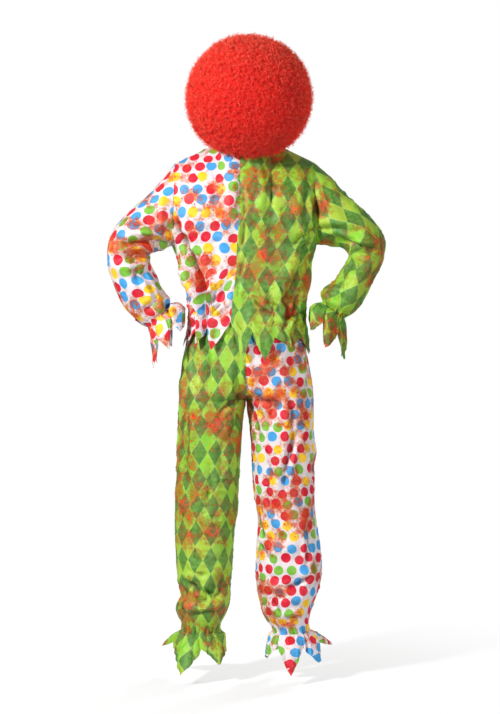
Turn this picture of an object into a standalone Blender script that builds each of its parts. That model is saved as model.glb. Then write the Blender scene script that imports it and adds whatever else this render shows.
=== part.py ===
"""Clown costume, worn: a two-pattern top, two-pattern trousers and a curly ball wig, each a hollow of cloth.

Metres, +Z up. The origin is the middle of the neck opening. The back is at +Y and the wearer's left at +X.
The tables are in millimetres, with a row for each section, edge point or fold.
"""

import bpy
import numpy as np
from mathutils import Vector
from mathutils.bvhtree import BVHTree

MM = 0.001
CLOTH = 0.0016
SEAM_GAP = 0.0003
UNDERARM_Z = -0.276
WAISTBAND = (-0.452, -0.484)
HIP_END_Z = -0.800
ANKLE_Z = -1.390
SQUARENESS = 2.3
ARMHOLE_COLUMNS = 12
ARMHOLE_EASE = 0.03
GATHER = 0.0022
FOLD_BREADTH = 1.8
FOLD_END_FADE = 0.65
FOLD_FACING = 2.5
DRAPE_CLEARANCE = 0.0040
BEYOND = 0.4
NECK_SHARE = 0.4
FRILL_LEAD = 0.36
FRILL_FALL = 0.66
FRILL_CUP = 0.10
FRILL_ROWS = np.array((0.2, 0.45, 0.7, 1.0))
SKIRT_ROWS = 9
SLEEVE_ROWS = np.array((0, 1, 2, 3, 4, 5, 6, 7, 8, 9, 9.6, 10.0))
ELBOW_ROW = 5
SLEEVE_GATHER_ROWS = 1.4
ANKLE_GATHER_HEIGHT = 0.030
WRIST_FLARE = 0.35
WRIST_SPREAD = 0.16
HAND_WAY = np.array((-0.95, 0.28, -0.12))
HAND_FALL = np.array((0.10, 0.12, 0.0))
FOOT_WAY = np.array((0.62, -0.78, 0.0))
FOOT_NARROWING = 1.5
FOOT_SLOPE = 0.33
ANKLE_SPREAD = 0.28
ANKLE_FLARE = 0.45
FOOT_FLARE = 0.90
DOWN = np.array((0, 0, -1.0))
TOP_CORE = (0, 0, -0.3)
BAND_CORE = (0, 0, -0.47)
LEG_CORE = (0.1, 0, -0.9)
HALVINGS = 16
WAIST_REACH = 0.06
WAIST_SLACK = 0.008

# height, left edge, right edge, back, front, back seam
TORSO = (
    (-276, 207, -201, 118, -128, 25),
    (-321, 192, -190, 116, -124, 26),
    (-365, 179, -184, 113, -120, 28),
    (-408, 169, -177, 112, -116, 34),
    (-436, 163, -172, 111, -114, 38),
    (-470, 161, -170, 112, -113, 41),
    (-494, 162, -170, 114, -114, 43),
    (-530, 170, -176, 121, -119, 43),
    (-570, 183, -182, 129, -125, 43),
    (-610, 191, -189, 133, -129, 43),
)
# x, y, height down the middle of the back and of the front, from the underarm line to the neck
BACK_MIDDLE = (
    (25, 118, -276),
    (19, 125, -200),
    (17, 122, -130),
    (17, 108, -72),
    (16, 86, -28),
    (15, 63, 2),
)
FRONT_MIDDLE = (
    (0, -128, -276),
    (0, -134, -215),
    (0, -128, -155),
    (0, -108, -100),
    (0, -82, -56),
)
NECK_SHOULDER = (75, 4, 14)
# fraction from the middle seam to the side seam, height of the hem there
HEM = {
    ("back", 1): (
        (0, -497), (0.15, -535), (0.3, -577), (0.38, -510), (0.52, -571),
        (0.62, -522), (0.74, -574), (0.84, -522), (0.93, -560), (1, -524),
    ),
    ("back", -1): (
        (0, -497), (0.125, -602), (0.25, -531), (0.375, -607), (0.5, -540),
        (0.64, -571), (0.76, -543), (0.88, -588), (1, -548),
    ),
    ("front", 1): (
        (0, -545), (0.15, -608), (0.3, -541), (0.38, -566), (0.52, -604),
        (0.62, -532), (0.74, -592), (0.84, -528), (0.93, -570), (1, -524),
    ),
    ("front", -1): (
        (0, -545), (0.125, -600), (0.25, -541), (0.375, -606), (0.5, -538),
        (0.64, -596), (0.76, -541), (0.88, -594), (1, -548),
    ),
}  # fmt: skip
# outer edge x, outer edge height, inner edge x, inner edge height, y, half depth
SLEEVE = {
    1: (
        (202, -47, 207, -276, 0, 78),
        (247, -103, 221, -280, 8, 77),
        (290, -146, 238, -288, 14, 74),
        (336, -187, 258, -296, 21, 71),
        (375, -232, 270, -302, 28, 69),
        (393, -281, 275, -312, 33, 67),
        (392, -339, 273, -326, 36, 66),
        (373, -399, 261, -364, 38, 64),
        (350, -445, 238, -405, 39, 62),
        (319, -485, 218, -433, 40, 58),
        (273, -512, 218, -449, 41, 36),
    ),
    -1: (
        (192, -42, 201, -276, 0, 78),
        (235, -80, 221, -278, 8, 77),
        (281, -135, 247, -280, 14, 74),
        (327, -178, 273, -282, 21, 71),
        (364, -212, 290, -292, 28, 69),
        (390, -258, 296, -306, 33, 67),
        (387, -324, 290, -326, 36, 66),
        (362, -382, 266, -364, 38, 64),
        (336, -433, 247, -393, 39, 62),
        (312, -468, 218, -413, 40, 58),
        (280, -488, 224, -449, 41, 36),
    ),
}
# fraction round the wrist from the underarm seam, reach of the frill below its elastic
WRIST_FRILL = (
    (0, 46), (0.083, 112), (0.167, 44), (0.25, 120), (0.333, 44), (0.417, 122),
    (0.5, 42), (0.583, 118), (0.667, 44), (0.75, 112), (0.833, 44), (0.917, 106),
)  # fmt: skip
# height, inner edge, outer edge, back, front
LEG = {
    1: (
        (-800, 10, 196, 104, -104),
        (-870, 14, 198, 98, -98),
        (-980, 23, 201, 92, -90),
        (-1090, 32, 204, 88, -84),
        (-1160, 38, 203, 88, -82),
        (-1215, 42, 200, 87, -80),
        (-1260, 46, 192, 84, -77),
        (-1290, 45, 188, 81, -75),
        (-1317, 49, 200, 79, -76),
        (-1345, 60, 193, 70, -68),
        (-1372, 74, 184, 58, -58),
        (-1390, 78, 184, 53, -53),
    ),
    -1: (
        (-800, 12, 195, 104, -104),
        (-870, 15, 194, 98, -98),
        (-947, 20, 192, 94, -92),
        (-1019, 29, 195, 90, -87),
        (-1076, 34, 199, 89, -85),
        (-1139, 30, 212, 90, -85),
        (-1202, 29, 218, 90, -84),
        (-1260, 32, 212, 87, -80),
        (-1317, 44, 193, 80, -75),
        (-1352, 57, 183, 68, -66),
        (-1376, 74, 182, 57, -57),
        (-1390, 78, 184, 53, -53),
    ),
}
# height, outer edge: the side seam between the waistband and the thigh
HIP_SIDE = {
    1: ((-484, 158), (-530, 163), (-574, 175), (-610, 183), (-657, 189), (-720, 193), (-800, 196)),
    -1: ((-484, 166), (-530, 167), (-574, 172), (-610, 180), (-657, 189), (-720, 195), (-800, 195)),
}
# height, back, front: the middle seams between the waistband and the crotch
HIP_MIDDLE = (
    (-484, 109, -109),
    (-530, 109, -108),
    (-580, 108, -106),
    (-630, 101, -98),
    (-675, 80, -76),
    (-705, 42, -40),
    (-720, 0, 0),
)
CROTCH_Z = -0.720
# heights of the trousers' lines of points, in millimetres
HIP_LINES = (-484, -520, -556, -592, -628, -660, -690, -720, -758, -800)
LEG_LINES = (-800, -870, -940, -1015, -1080, -1140, -1200, -1250, -1290, -1320, -1348, -1374, -1390)
SEAT_FADE = 3.0
SEAT_FILL = 0.013
SEAT_FILL_Z = -0.725
SEAT_FILL_SPREAD = 0.055
# fraction from the inseam to the side seam, reach of the frill below its elastic
ANKLE_FRILL = {
    ("back", 1): (
        (0, 44), (0.13, 66), (0.27, 92), (0.38, 62), (0.48, 42),
        (0.58, 80), (0.69, 119), (0.84, 72), (1, 46),
    ),
    ("front", 1): (
        (0, 44), (0.11, 72), (0.2, 95), (0.34, 44), (0.42, 80),
        (0.5, 112), (0.59, 76), (0.67, 44), (0.77, 88), (0.86, 126), (1, 46),
    ),
    ("back", -1): (
        (0, 46), (0.15, 72), (0.31, 42), (0.4, 80), (0.49, 119),
        (0.58, 76), (0.66, 42), (0.75, 66), (0.84, 92), (1, 48),
    ),
    ("front", -1): (
        (0, 46), (0.11, 74), (0.2, 98), (0.34, 44), (0.42, 78),
        (0.5, 114), (0.59, 76), (0.67, 44), (0.77, 84), (0.86, 118), (1, 48),
    ),
}  # fmt: skip
# side (1 back, -1 front), start x, start height, end x, end height, half width, depth outwards
TOP_FOLDS = (
    (1, 190, -230, 150, -330, 13, -7),
    (1, 150, -320, 112, -480, 13, -9),
    (1, 172, -300, 135, -440, 11, 6),
    (1, 117, -494, 100, -494, 24, -9),
    (1, 60, -330, 105, -470, 14, 4),
    (1, 88, -470, 60, -400, 12, -5),
    (1, -183, -90, -184, -250, 12, -7),
    (1, -168, -110, -166, -250, 12, 4),
    (1, -172, -330, -98, -486, 14, -8),
    (1, -150, -300, -80, -440, 15, 5),
    (1, -92, -488, -110, -488, 24, -9),
    (1, -60, -420, -96, -480, 13, -5),
    (-1, 176, -250, 90, -420, 15, -6),
    (-1, 150, -300, 60, -400, 14, 5),
    (-1, 120, -455, 40, -440, 15, -6),
    (-1, -176, -250, -100, -430, 15, -6),
    (-1, -145, -310, -50, -420, 14, 4),
    (-1, -120, -460, -50, -450, 15, -6),
    (-1, 60, -150, 150, -230, 18, 4),
    (-1, -70, -150, -150, -240, 18, 4),
)
SLEEVE_FOLDS = (
    (1, 245, -270, 335, -275, 10, -8),
    (1, 225, -225, 320, -245, 14, 5),
    (1, 276, -315, 360, -320, 11, -7),
    (1, 268, -350, 330, -372, 12, -5),
    (1, 345, -320, 300, -430, 14, 5),
    (1, 245, -425, 285, -470, 9, -6),
    (1, 290, -190, 340, -240, 14, 4),
    (1, -238, -264, -300, -282, 10, -8),
    (1, -290, -285, -372, -296, 11, -7),
    (1, -225, -215, -330, -240, 15, 5),
    (1, -288, -330, -345, -345, 12, -6),
    (1, -240, -100, -330, -200, 14, 4),
    (1, -345, -330, -290, -440, 14, 5),
    (1, -225, -420, -275, -440, 9, -6),
    (-1, 245, -265, 340, -280, 12, -7),
    (-1, 276, -318, 362, -310, 12, -7),
    (-1, 340, -330, 285, -440, 15, 5),
    (-1, -245, -264, -335, -275, 12, -7),
    (-1, -296, -316, -372, -310, 12, -7),
    (-1, -340, -330, -290, -430, 15, 5),
)
TROUSER_FOLDS = (
    (1, 168, -600, 166, -1000, 12, -6),
    (1, 148, -620, 146, -900, 16, 3),
    (1, 110, -700, 60, -760, 15, -5),
    (1, -100, -700, -55, -770, 15, -5),
    (1, -142, -780, -140, -900, 12, -5),
    (1, 120, -1215, 185, -1275, 13, -6),
    (1, 60, -1230, 120, -1290, 13, -6),
    (1, 75, -1300, 165, -1315, 10, 5),
    (1, -80, -1215, -190, -1250, 14, -6),
    (1, -60, -1290, -150, -1260, 13, -5),
    (1, -70, -1150, -150, -1120, 16, 4),
    (1, -160, -1320, -90, -1330, 10, 4),
    (-1, 160, -640, 60, -700, 16, -6),
    (-1, -160, -640, -60, -700, 16, -6),
    (-1, 150, -1000, 60, -1040, 18, -5),
    (-1, -150, -1010, -60, -1040, 18, -5),
    (-1, 130, -1220, 70, -1280, 14, -6),
    (-1, -130, -1220, -80, -1280, 14, -6),
    (-1, 140, -600, 142, -950, 16, 4),
    (-1, -142, -600, -140, -950, 16, 4),
)

SLEEVES = {"sleeve_upper_left", "sleeve_lower_left", "sleeve_upper_right", "sleeve_lower_right"}

WIG_MIDDLE = np.array((-0.009, 0.082, 0.136))
WIG_HALF_SIZE = np.array((0.181, 0.168, 0.179))
HEAD_MIDDLE = np.array((-0.004, 0.012, 0.142))
HEAD_HALF_SIZE = np.array((0.078, 0.096, 0.114))
FACE_TILT = np.radians(29)
FACE_HALF_HEIGHT = np.radians(69)
FACE_HALF_WIDTH = np.radians(48)
FRINGE_LEAN = np.radians(7)
WIG_COLUMNS = 26
WIG_ROWS = 13
CURL_LUMP = 0.004
# across x, y and z: how fast each of the three waves that make the knots of curls turns, and where it starts
CURL_WAVES = np.array(((9, 0, 2), (4, 8, 0), (0, -3, 9)))
CURL_SHIFTS = np.array((0, 1, 2))
WIG_CLEARANCE = 0.006
NECK_HOLE = np.array((0.100, 0.084))
COLLAR_TOP_Z = 0.024
REST_GAP = 0.0004
REACH_STEP = 0.002
DROP_RANGE = 0.03
COLLAR_DEPTH = 0.15
# share of the way from cap to curls, and turn from the edge of the face opening: the ball's rounded front lip
LIP = ((0.22, -0.05), (0.60, 0.0), (0.90, 0.05))
LIP_REACH = 0.97
CAP_WALL = 0.0015


def through(rows, at):
    """Columns of a table as smooth curves of its first column: cubics, their slopes from the rows beside."""
    rows = np.asarray(rows, float)
    order = np.argsort(rows[:, 0])
    key, values = rows[order, 0], rows[order, 1:]
    slope = np.gradient(values, key, axis=0)
    at = np.clip(np.asarray(at, float), key[0], key[-1])
    low = np.clip(np.searchsorted(key, at) - 1, 0, len(key) - 2)
    span = (key[low + 1] - key[low])[..., None]
    t = (at - key[low])[..., None] / span
    start, end = values[low], values[low + 1]
    return (
        (2 * t**3 - 3 * t**2 + 1) * start
        + (t**3 - 2 * t**2 + t) * span * slope[low]
        + (3 * t**2 - 2 * t**3) * end
        + (t**3 - t**2) * span * slope[low + 1]
    )


def route(points, fractions):
    """Places at fractions of the chord length along a smooth curve through a list of points."""
    points = np.asarray(points, float) * MM
    steps = np.linalg.norm(np.diff(points, axis=0), axis=1)
    along = np.concatenate(([0], np.cumsum(steps))) / steps.sum()
    return through(np.column_stack((along, points)), fractions)


def straight(rows, at):
    """The second column of a table, in metres, with straight lines between its rows."""
    rows = np.asarray(rows, float)
    return np.interp(at, rows[:, 0], rows[:, 1] * MM)


def patch(first, last, start, end, u, v, fade=1.0):
    """A Coons patch: the two row edges mixed along v, plus how far each column edge strays from its chord.

    The straying fades across the patch as a power of the distance from that edge.
    """
    u, v = u[None, :, None], v[:, None, None]
    start_stray = start[:, None] - (1 - v) * first[0] - v * last[0]
    end_stray = end[:, None] - (1 - v) * first[-1] - v * last[-1]
    return (1 - v) * first[None] + v * last[None] + (1 - u) ** fade * start_stray + u**fade * end_stray


def torso_point(angle, z):
    """The body tube: rounded rings, half sizes from TORSO, angle 0 at the back and 90 degrees at left."""
    size = through(TORSO, z / MM) * MM
    side, face = np.sin(angle), np.cos(angle)
    across = np.where(side >= 0, size[..., 0], -size[..., 1])
    deep = np.where(face >= 0, size[..., 2], -size[..., 3])
    reach = (np.abs(side / across) ** SQUARENESS + np.abs(face / deep) ** SQUARENESS) ** (-1 / SQUARENESS)
    return np.stack((reach * side, reach * face, z + 0 * angle), axis=-1)


def torso_angle(face, side, u, z):
    """Angle at a fraction from the middle seam to the side seam; the back seam wanders left on its way down."""
    if face == "front":
        return np.pi * (1 - u / 2) * side
    size = through(TORSO, z / MM)
    seam = np.arctan2(size[..., 4], size[..., 2])
    return seam + (side * np.pi / 2 - seam) * u


def armhole_steps():
    """Fractions from underarm to shoulder, wider apart at both ends, where the armhole runs level."""
    even = np.linspace(0, 1, ARMHOLE_COLUMNS + 1)
    return even + ARMHOLE_EASE * np.sin(2 * np.pi * even)


def sleeve_ring(side, row, turn):
    """A sleeve's section: an ellipse between its edges, turn 0 at the seam below and 90 degrees behind."""
    rows = np.column_stack((np.arange(len(SLEEVE[side])), SLEEVE[side]))
    outer_x, outer_z, inner_x, inner_z, y, deep = np.moveaxis(through(rows, row) * MM, -1, 0)
    swing = (1 - np.cos(turn)) / 2
    x = inner_x + (outer_x - inner_x) * swing
    z = inner_z + (outer_z - inner_z) * swing
    return np.stack((side * x, y + deep * np.sin(turn), z), axis=-1)


def neck_edge(face, side, t):
    """A quarter of the neckline: from the middle seam round to the shoulder seam, lower at the front."""
    middle = np.array(BACK_MIDDLE[-1] if face == "back" else FRONT_MIDDLE[-1]) * MM
    corner = np.array(NECK_SHOULDER) * MM * (side, 1, 1)
    lean = (np.cos(t * np.pi / 2))[:, None]
    swing = (np.sin(t * np.pi / 2))[:, None]
    return corner * (1, 0, 0) * swing + middle * (1, 0, 0) * (1 - swing) + (
        corner + (middle - corner) * lean
    ) * (0, 1, 1)


def torso_panel(face, side, columns, upper_rows, lower_rows):
    """One quarter of the top: a patch from neck to underarm, then rings down to the pointed hem."""
    turn = upper_rows * np.pi * (1 if face == "back" else -1)
    armhole = sleeve_ring(side, 0 * turn, turn)
    middle = route(BACK_MIDDLE if face == "back" else FRONT_MIDDLE, upper_rows)
    chest_z = np.full(len(columns), UNDERARM_Z)
    chest = torso_point(torso_angle(face, side, columns, chest_z), chest_z)
    neck = neck_edge(face, side, np.clip(columns / NECK_SHARE, 0, 1))
    past = np.clip((columns - NECK_SHARE) / (1 - NECK_SHARE), 0, 1)[:, None]
    shoulder = neck + (armhole[-1] - neck) * past
    upper = patch(chest, shoulder, middle, armhole, columns, upper_rows)
    hem = straight(HEM[face, side], columns)
    z = UNDERARM_Z + (hem - UNDERARM_Z) * lower_rows[:, None]
    lower = torso_point(torso_angle(face, side, columns[None], z), z)
    return np.concatenate((lower[::-1], upper[1:]))


def unit(vectors):
    return vectors / np.linalg.norm(vectors, axis=-1, keepdims=True)


def hanging(edge, away, reach, lead, fall, rows):
    """Frill below an elastic: each column leaves along lead, then bends into its fall."""
    reach = reach[None, :, None]
    t = rows[:, None, None]
    turn_at = edge + FRILL_LEAD * reach[0] * unit(lead)
    end = turn_at + FRILL_FALL * reach[0] * unit(fall)
    cup = FRILL_CUP * reach * np.sin(np.pi * t) * away
    return (1 - t) ** 2 * edge + 2 * t * (1 - t) * turn_at + t**2 * end + cup


def gathers(columns):
    """In and out by turns, so that an elastic draws the cloth into small pleats."""
    return GATHER * np.where(np.arange(columns) % 2 == 0, -1.0, 1.0)


def sleeve(side, sleeve_rows, frill_rows):
    """A sleeve with the pointed frill that its wrist elastic sets off, as a tube of columns."""
    half = armhole_steps() * np.pi
    turns = np.concatenate((half[:-1], np.pi + half[:-1]))
    tube = sleeve_ring(side, sleeve_rows[:, None], turns[None])
    wrist = tube[-1]
    middle = wrist.mean(axis=0)
    away = unit(wrist - middle)
    nearness = np.clip(sleeve_rows - sleeve_rows[-1] + SLEEVE_GATHER_ROWS, 0, 1)[:, None, None]
    tube = tube + nearness * gathers(len(turns))[None, :, None] * away[None]
    forearm = unit(middle - sleeve_ring(side, sleeve_rows[-2] + 0 * turns, turns).mean(axis=0))
    inner = ((1 + np.cos(turns)) / 2)[:, None]
    mirror = np.array((side, 1, 1))
    lead = forearm * (1 - inner) + HAND_WAY * mirror * inner + WRIST_FLARE * away
    fall = DOWN + WRIST_SPREAD * away + inner * HAND_FALL * mirror
    frill = hanging(tube[-1], away, straight(WRIST_FRILL, turns / (2 * np.pi)), lead, fall, frill_rows)
    return np.concatenate((tube, frill))


def column_points(grids, z):
    """Where the top's columns cross a height, as a ring in order of angle."""
    points = []
    for name, grid in grids.items():
        if not name.startswith("top_"):
            continue
        for column in np.moveaxis(grid, 1, 0):
            order = np.argsort(column[:, 2])
            at = [np.interp(z, column[order, 2], column[order, axis]) for axis in (0, 1)]
            points.append((*at, z))
    points = np.unique(np.round(points, 7), axis=0)
    return points[np.argsort(np.arctan2(points[:, 0], points[:, 1]))]


def ring_reach(ring, angle):
    """How far a ring lies from the axis at each angle."""
    angles = np.arctan2(ring[:, 0], ring[:, 1])
    return np.interp(angle, angles, np.linalg.norm(ring[:, :2], axis=1), period=2 * np.pi)


def waist_edge(face, side, columns, ring):
    """The trousers' upper edge: the lower ring of their waistband, from the middle seam to the side seam."""
    angle = side * columns * np.pi / 2
    angle = angle if face == "back" else np.pi - angle
    reach = ring_reach(ring, angle)
    return np.stack((reach * np.sin(angle), reach * np.cos(angle), np.full(len(angle), ring[0, 2])), axis=-1)


def leg_ring(side, z, turn):
    """A leg's section: an ellipse, turn 0 at the inseam, 90 degrees behind and 180 at the side seam."""
    inner, outer, back, front = np.moveaxis(through(LEG[side], z / MM) * MM, -1, 0)
    behind = np.sin(turn)
    y = np.where(behind >= 0, back, -front) * behind
    swing = (1 - np.cos(turn)) / 2
    return np.stack((side * (inner + (outer - inner) * swing), y, z + 0 * turn), axis=-1)


def trouser_panel(face, side, columns, band, hip_rows, leg_heights, frill_rows):
    """Half a trouser leg: a patch over the hip and round the crotch, rings down the leg, then the frill."""
    turn = columns * np.pi * (1 if face == "back" else -1)
    waist = waist_edge(face, side, columns, band[-1])
    thigh = leg_ring(side, np.full(len(columns), HIP_END_Z), turn)
    heights = WAISTBAND[1] + (HIP_END_Z - WAISTBAND[1]) * hip_rows
    side_x = through(HIP_SIDE[side], heights / MM)[:, 0] * MM
    side_seam = np.stack((side * side_x, 0 * heights, heights), axis=-1)
    depth = through(HIP_MIDDLE, np.maximum(heights, CROTCH_Z) / MM)[:, 0 if face == "back" else 1] * MM
    below = np.clip((CROTCH_Z - heights) / (CROTCH_Z - HIP_END_Z), 0, 1)
    middle_x = side * LEG[side][0][1] * MM * below
    middle_seam = np.stack((middle_x, np.where(below > 0, 0, depth), heights), axis=-1)
    middle_seam[0], side_seam[0] = waist[0], waist[-1]
    middle_seam[-1], side_seam[-1] = thigh[0], thigh[-1]
    hip = patch(waist, thigh, middle_seam, side_seam, columns, hip_rows, SEAT_FADE)
    fill = SEAT_FILL * np.exp(-(((heights - SEAT_FILL_Z) / SEAT_FILL_SPREAD) ** 2)) * np.sin(np.pi * hip_rows)
    hip[..., 1] += fill[:, None] * np.sin(np.pi * columns) * np.sign(hip[..., 1])
    leg = leg_ring(side, leg_heights[:, None], turn[None])
    ankle = leg[-1]
    middle = np.array((ankle[:, 0].mean(), 0, ANKLE_Z))
    away = unit((ankle - middle) * (1, 1, 0) + 1e-9)
    nearness = np.clip(1 - (leg_heights - ANKLE_Z) / ANKLE_GATHER_HEIGHT, 0, 1)[:, None, None]
    inner_columns = gathers(len(columns)) * (np.minimum(columns, 1 - columns) > 0)
    leg = leg + nearness * inner_columns[None, :, None] * away[None]
    foot = unit(FOOT_WAY * (side, 1, 1))
    over_foot = np.clip(away @ foot, 0, 1)[:, None] ** FOOT_NARROWING
    fall = (DOWN + ANKLE_SPREAD * away) * (1 - over_foot) + (foot + FOOT_SLOPE * DOWN) * over_foot
    lead = DOWN + (ANKLE_FLARE + FOOT_FLARE * over_foot) * away
    frill = hanging(leg[-1], away, straight(ANKLE_FRILL[face, side], columns), lead, fall, frill_rows)
    return np.concatenate((hip, leg[1:], frill))


def triangles(corners, points):
    """Each four-cornered face as two triangles, split along its shorter diagonal, so that facing walls match."""
    first, second, third, fourth = np.moveaxis(points[corners], 1, 0)
    plain = np.linalg.norm(third - first, axis=1) <= np.linalg.norm(fourth - second, axis=1) + 1e-6
    crossed = corners[~plain]
    corners = corners[plain]
    halves = [corners[:, (0, 1, 2)], corners[:, (0, 2, 3)], crossed[:, (0, 1, 3)], crossed[:, (1, 2, 3)]]
    return np.concatenate(halves)


def quads(rows, columns, closed):
    """Corner indices of a grid's faces, row by row; a closed grid joins its last column to its first."""
    last = columns if closed else columns - 1
    row, column = np.meshgrid(np.arange(rows - 1), np.arange(last), indexing="ij")
    start = (row * columns + column).ravel()
    side = (row * columns + (column + 1) % columns).ravel()
    return np.column_stack((start, side, side + columns, start + columns))


def shared_normals(grids, closed):
    """Outward directions of several grids together, so that panels lean the same way where they meet."""
    points = np.concatenate([grid.reshape(-1, 3) for grid in grids.values()])
    faces, offset = [], 0
    for name, grid in grids.items():
        faces.append(quads(*grid.shape[:2], name in closed) + offset)
        offset += grid.shape[0] * grid.shape[1]
    faces = np.concatenate(faces)
    corners = points[faces]
    face_normals = np.cross(corners[:, 2] - corners[:, 0], corners[:, 3] - corners[:, 1])
    _, same = np.unique(np.round(points, 6), axis=0, return_inverse=True)
    same = same.reshape(-1)
    total = np.zeros((same.max() + 1, 3))
    for corner in range(4):
        np.add.at(total, same[faces[:, corner]], face_normals)
    normals = unit(total + 1e-12)[same]
    result, offset = {}, 0
    for name, grid in grids.items():
        count = grid.shape[0] * grid.shape[1]
        result[name] = normals[offset : offset + count].reshape(grid.shape)
        offset += count
    return result


def crease(points, normals, folds):
    """How far each point moves outwards: soft troughs and ridges along the lines of a fold table."""
    move = np.zeros(points.shape[:-1])
    for facing, x0, z0, x1, z1, width, depth in folds:
        start, line = np.array((x0, z0)) * MM, np.array((x1 - x0, z1 - z0)) * MM
        flat = points[..., (0, 2)] - start
        t = np.clip(flat @ line / (line @ line), 0, 1)
        away = np.linalg.norm(flat - t[..., None] * line, axis=-1)
        taper = 1 - FOLD_END_FADE * (2 * t - 1) ** 2
        shown = np.clip(normals[..., 1] * facing * FOLD_FACING, 0, 1)
        move += depth * MM * taper * shown * np.exp(-((away / (FOLD_BREADTH * width * MM)) ** 2))
    return move


def creased(grids, folds, closed=()):
    """The grids of one garment with its folds worked in."""
    normals = shared_normals(grids, closed)
    return {
        name: grid + normals[name] * crease(grid, normals[name], folds)[..., None]
        for name, grid in grids.items()
    }


def inwards(line, following, closed=False):
    """Directions from an edge's points towards the next line of the grid, square to the edge."""
    ahead, behind = np.roll(line, -1, axis=0), np.roll(line, 1, axis=0)
    if not closed:
        ahead[-1], behind[0] = line[-1], line[0]
    along = unit(ahead - behind)
    way = following - line
    return unit(way - (way * along).sum(-1, keepdims=True) * along)


def trimmed(grid, closed):
    """The grid with each free edge drawn in by half a seam gap, square to the edge."""
    result = grid.copy()
    half = SEAM_GAP / 2
    for edge, following in ((0, 1), (-1, -2)):
        result[edge] += half * inwards(grid[edge], grid[following], closed)
        if not closed:
            result[:, edge] += half * inwards(grid[:, edge], grid[:, following])
    return result


def material(name, color, roughness):
    found = bpy.data.materials.new(name)
    found.use_nodes = True
    shader = found.node_tree.nodes["Principled BSDF"]
    shader.inputs["Base Color"].default_value = (*color, 1)
    shader.inputs["Roughness"].default_value = roughness
    shader.inputs["Metallic"].default_value = 0
    return found


def add_mesh(name, points, faces, finish):
    mesh = bpy.data.meshes.new(name)
    mesh.from_pydata(points.tolist(), [], [list(face) for face in faces])
    mesh.validate()
    mesh.shade_smooth()
    mesh.materials.append(finish)
    bpy.context.scene.collection.objects.link(bpy.data.objects.new(name, mesh))


def shell(outer, inner, closed):
    """Points and faces of a wall between two grids, with a rim round every free edge."""
    rows, columns = outer.shape[:2]
    count = rows * columns
    points = np.concatenate((outer.reshape(-1, 3), inner.reshape(-1, 3)))
    front = triangles(quads(rows, columns, closed), points)
    index = np.arange(count).reshape(rows, columns)
    first, last = index[0], index[-1]
    if closed:
        edges = [np.append(first, first[0]), np.append(last, last[0])[::-1]]
    else:
        edges = [first, last[::-1], index[::-1, 0], index[:, -1]]
    rim_faces = [
        triangles(np.column_stack((line[1:], line[:-1], line[:-1] + count, line[1:] + count)), points)
        for line in edges
    ]
    faces = np.concatenate([front, front[:, ::-1] + count] + rim_faces)
    return points, faces


def walls_of(grids, closed=()):
    """Each grid of a garment as a wall of cloth, its points and faces."""
    normals = shared_normals(grids, closed)
    walls = {}
    for name, grid in grids.items():
        inner = grid - CLOTH * normals[name]
        walls[name] = shell(trimmed(grid, name in closed), trimmed(inner, name in closed), name in closed)
    return walls


def sew(grids, finishes, closed=()):
    """Adds the walls of a garment to the scene and returns them, for what lies on them."""
    walls = walls_of(grids, closed)
    for name, wall in walls.items():
        add_mesh(name, *wall, finishes[name])
    return walls


def facing_out(grid, core):
    """The grid, turned round if its faces look at the core that it surrounds."""
    normals = shared_normals({"grid": grid}, ())["grid"]
    return grid if (normals * (grid - core)).sum() > 0 else grid[:, ::-1]


def top_grids(dots, diamonds):
    """The creased grids of the top and what each is made of."""
    upper_rows = armhole_steps()
    lower_rows = np.linspace(0, 1, SKIRT_ROWS)
    grids, finishes = {}, {}
    for side, word, finish in ((1, "left", dots), (-1, "right", diamonds)):
        for face in ("back", "front"):
            name = f"top_{face}_{word}"
            columns = np.array(HEM[face, side])[:, 0]
            grid = torso_panel(face, side, columns, upper_rows, lower_rows)
            grids[name] = facing_out(grid, TOP_CORE)
            finishes[name] = finish
        grid = sleeve(side, SLEEVE_ROWS, FRILL_ROWS)
        grid = facing_out(grid, grid[: len(SLEEVE_ROWS)].mean(axis=(0, 1)))
        grids[f"sleeve_upper_{word}"] = grid[: ELBOW_ROW + 1]
        grids[f"sleeve_lower_{word}"] = grid[ELBOW_ROW:]
        finishes |= {f"sleeve_{share}_{word}": finish for share in ("upper", "lower")}
    return creased(grids, TOP_FOLDS + SLEEVE_FOLDS, SLEEVES), finishes


def waistband_grid(grids):
    """The elastic band: the top's own rings, moved in until the band just rests inside the cloth."""
    rings, ways_in = [], []
    for z in np.linspace(*WAISTBAND, 3):
        ring = column_points(grids, z)
        along = np.roll(ring, -1, axis=0) - np.roll(ring, 1, axis=0)
        way = unit(np.cross(along, (0, 0, 1.0)))
        rings.append(ring)
        ways_in.append(-way * np.sign((way * ring).sum()))
    rings, ways_in = np.array(rings), np.array(ways_in)
    top_points, top_faces = joined(walls_of(grids, SLEEVES))
    top_tree = BVHTree.FromPolygons(top_points.tolist(), top_faces.tolist())
    near = top_points[np.abs(top_points[:, 2] - WAISTBAND[0]) < WAIST_REACH]
    tight, loose = CLOTH, CLOTH + WAIST_SLACK
    for _ in range(HALVINGS):
        inset = (tight + loose) / 2
        points, faces = walls_of({"band": facing_out(rings + inset * ways_in, BAND_CORE)}, {"band"})["band"]
        tree = BVHTree.FromPolygons(points.tolist(), faces.tolist())
        if gap_between(points, tree, near, top_tree) > REST_GAP:
            loose = inset
        else:
            tight = inset
    return rings + loose * ways_in


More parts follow.
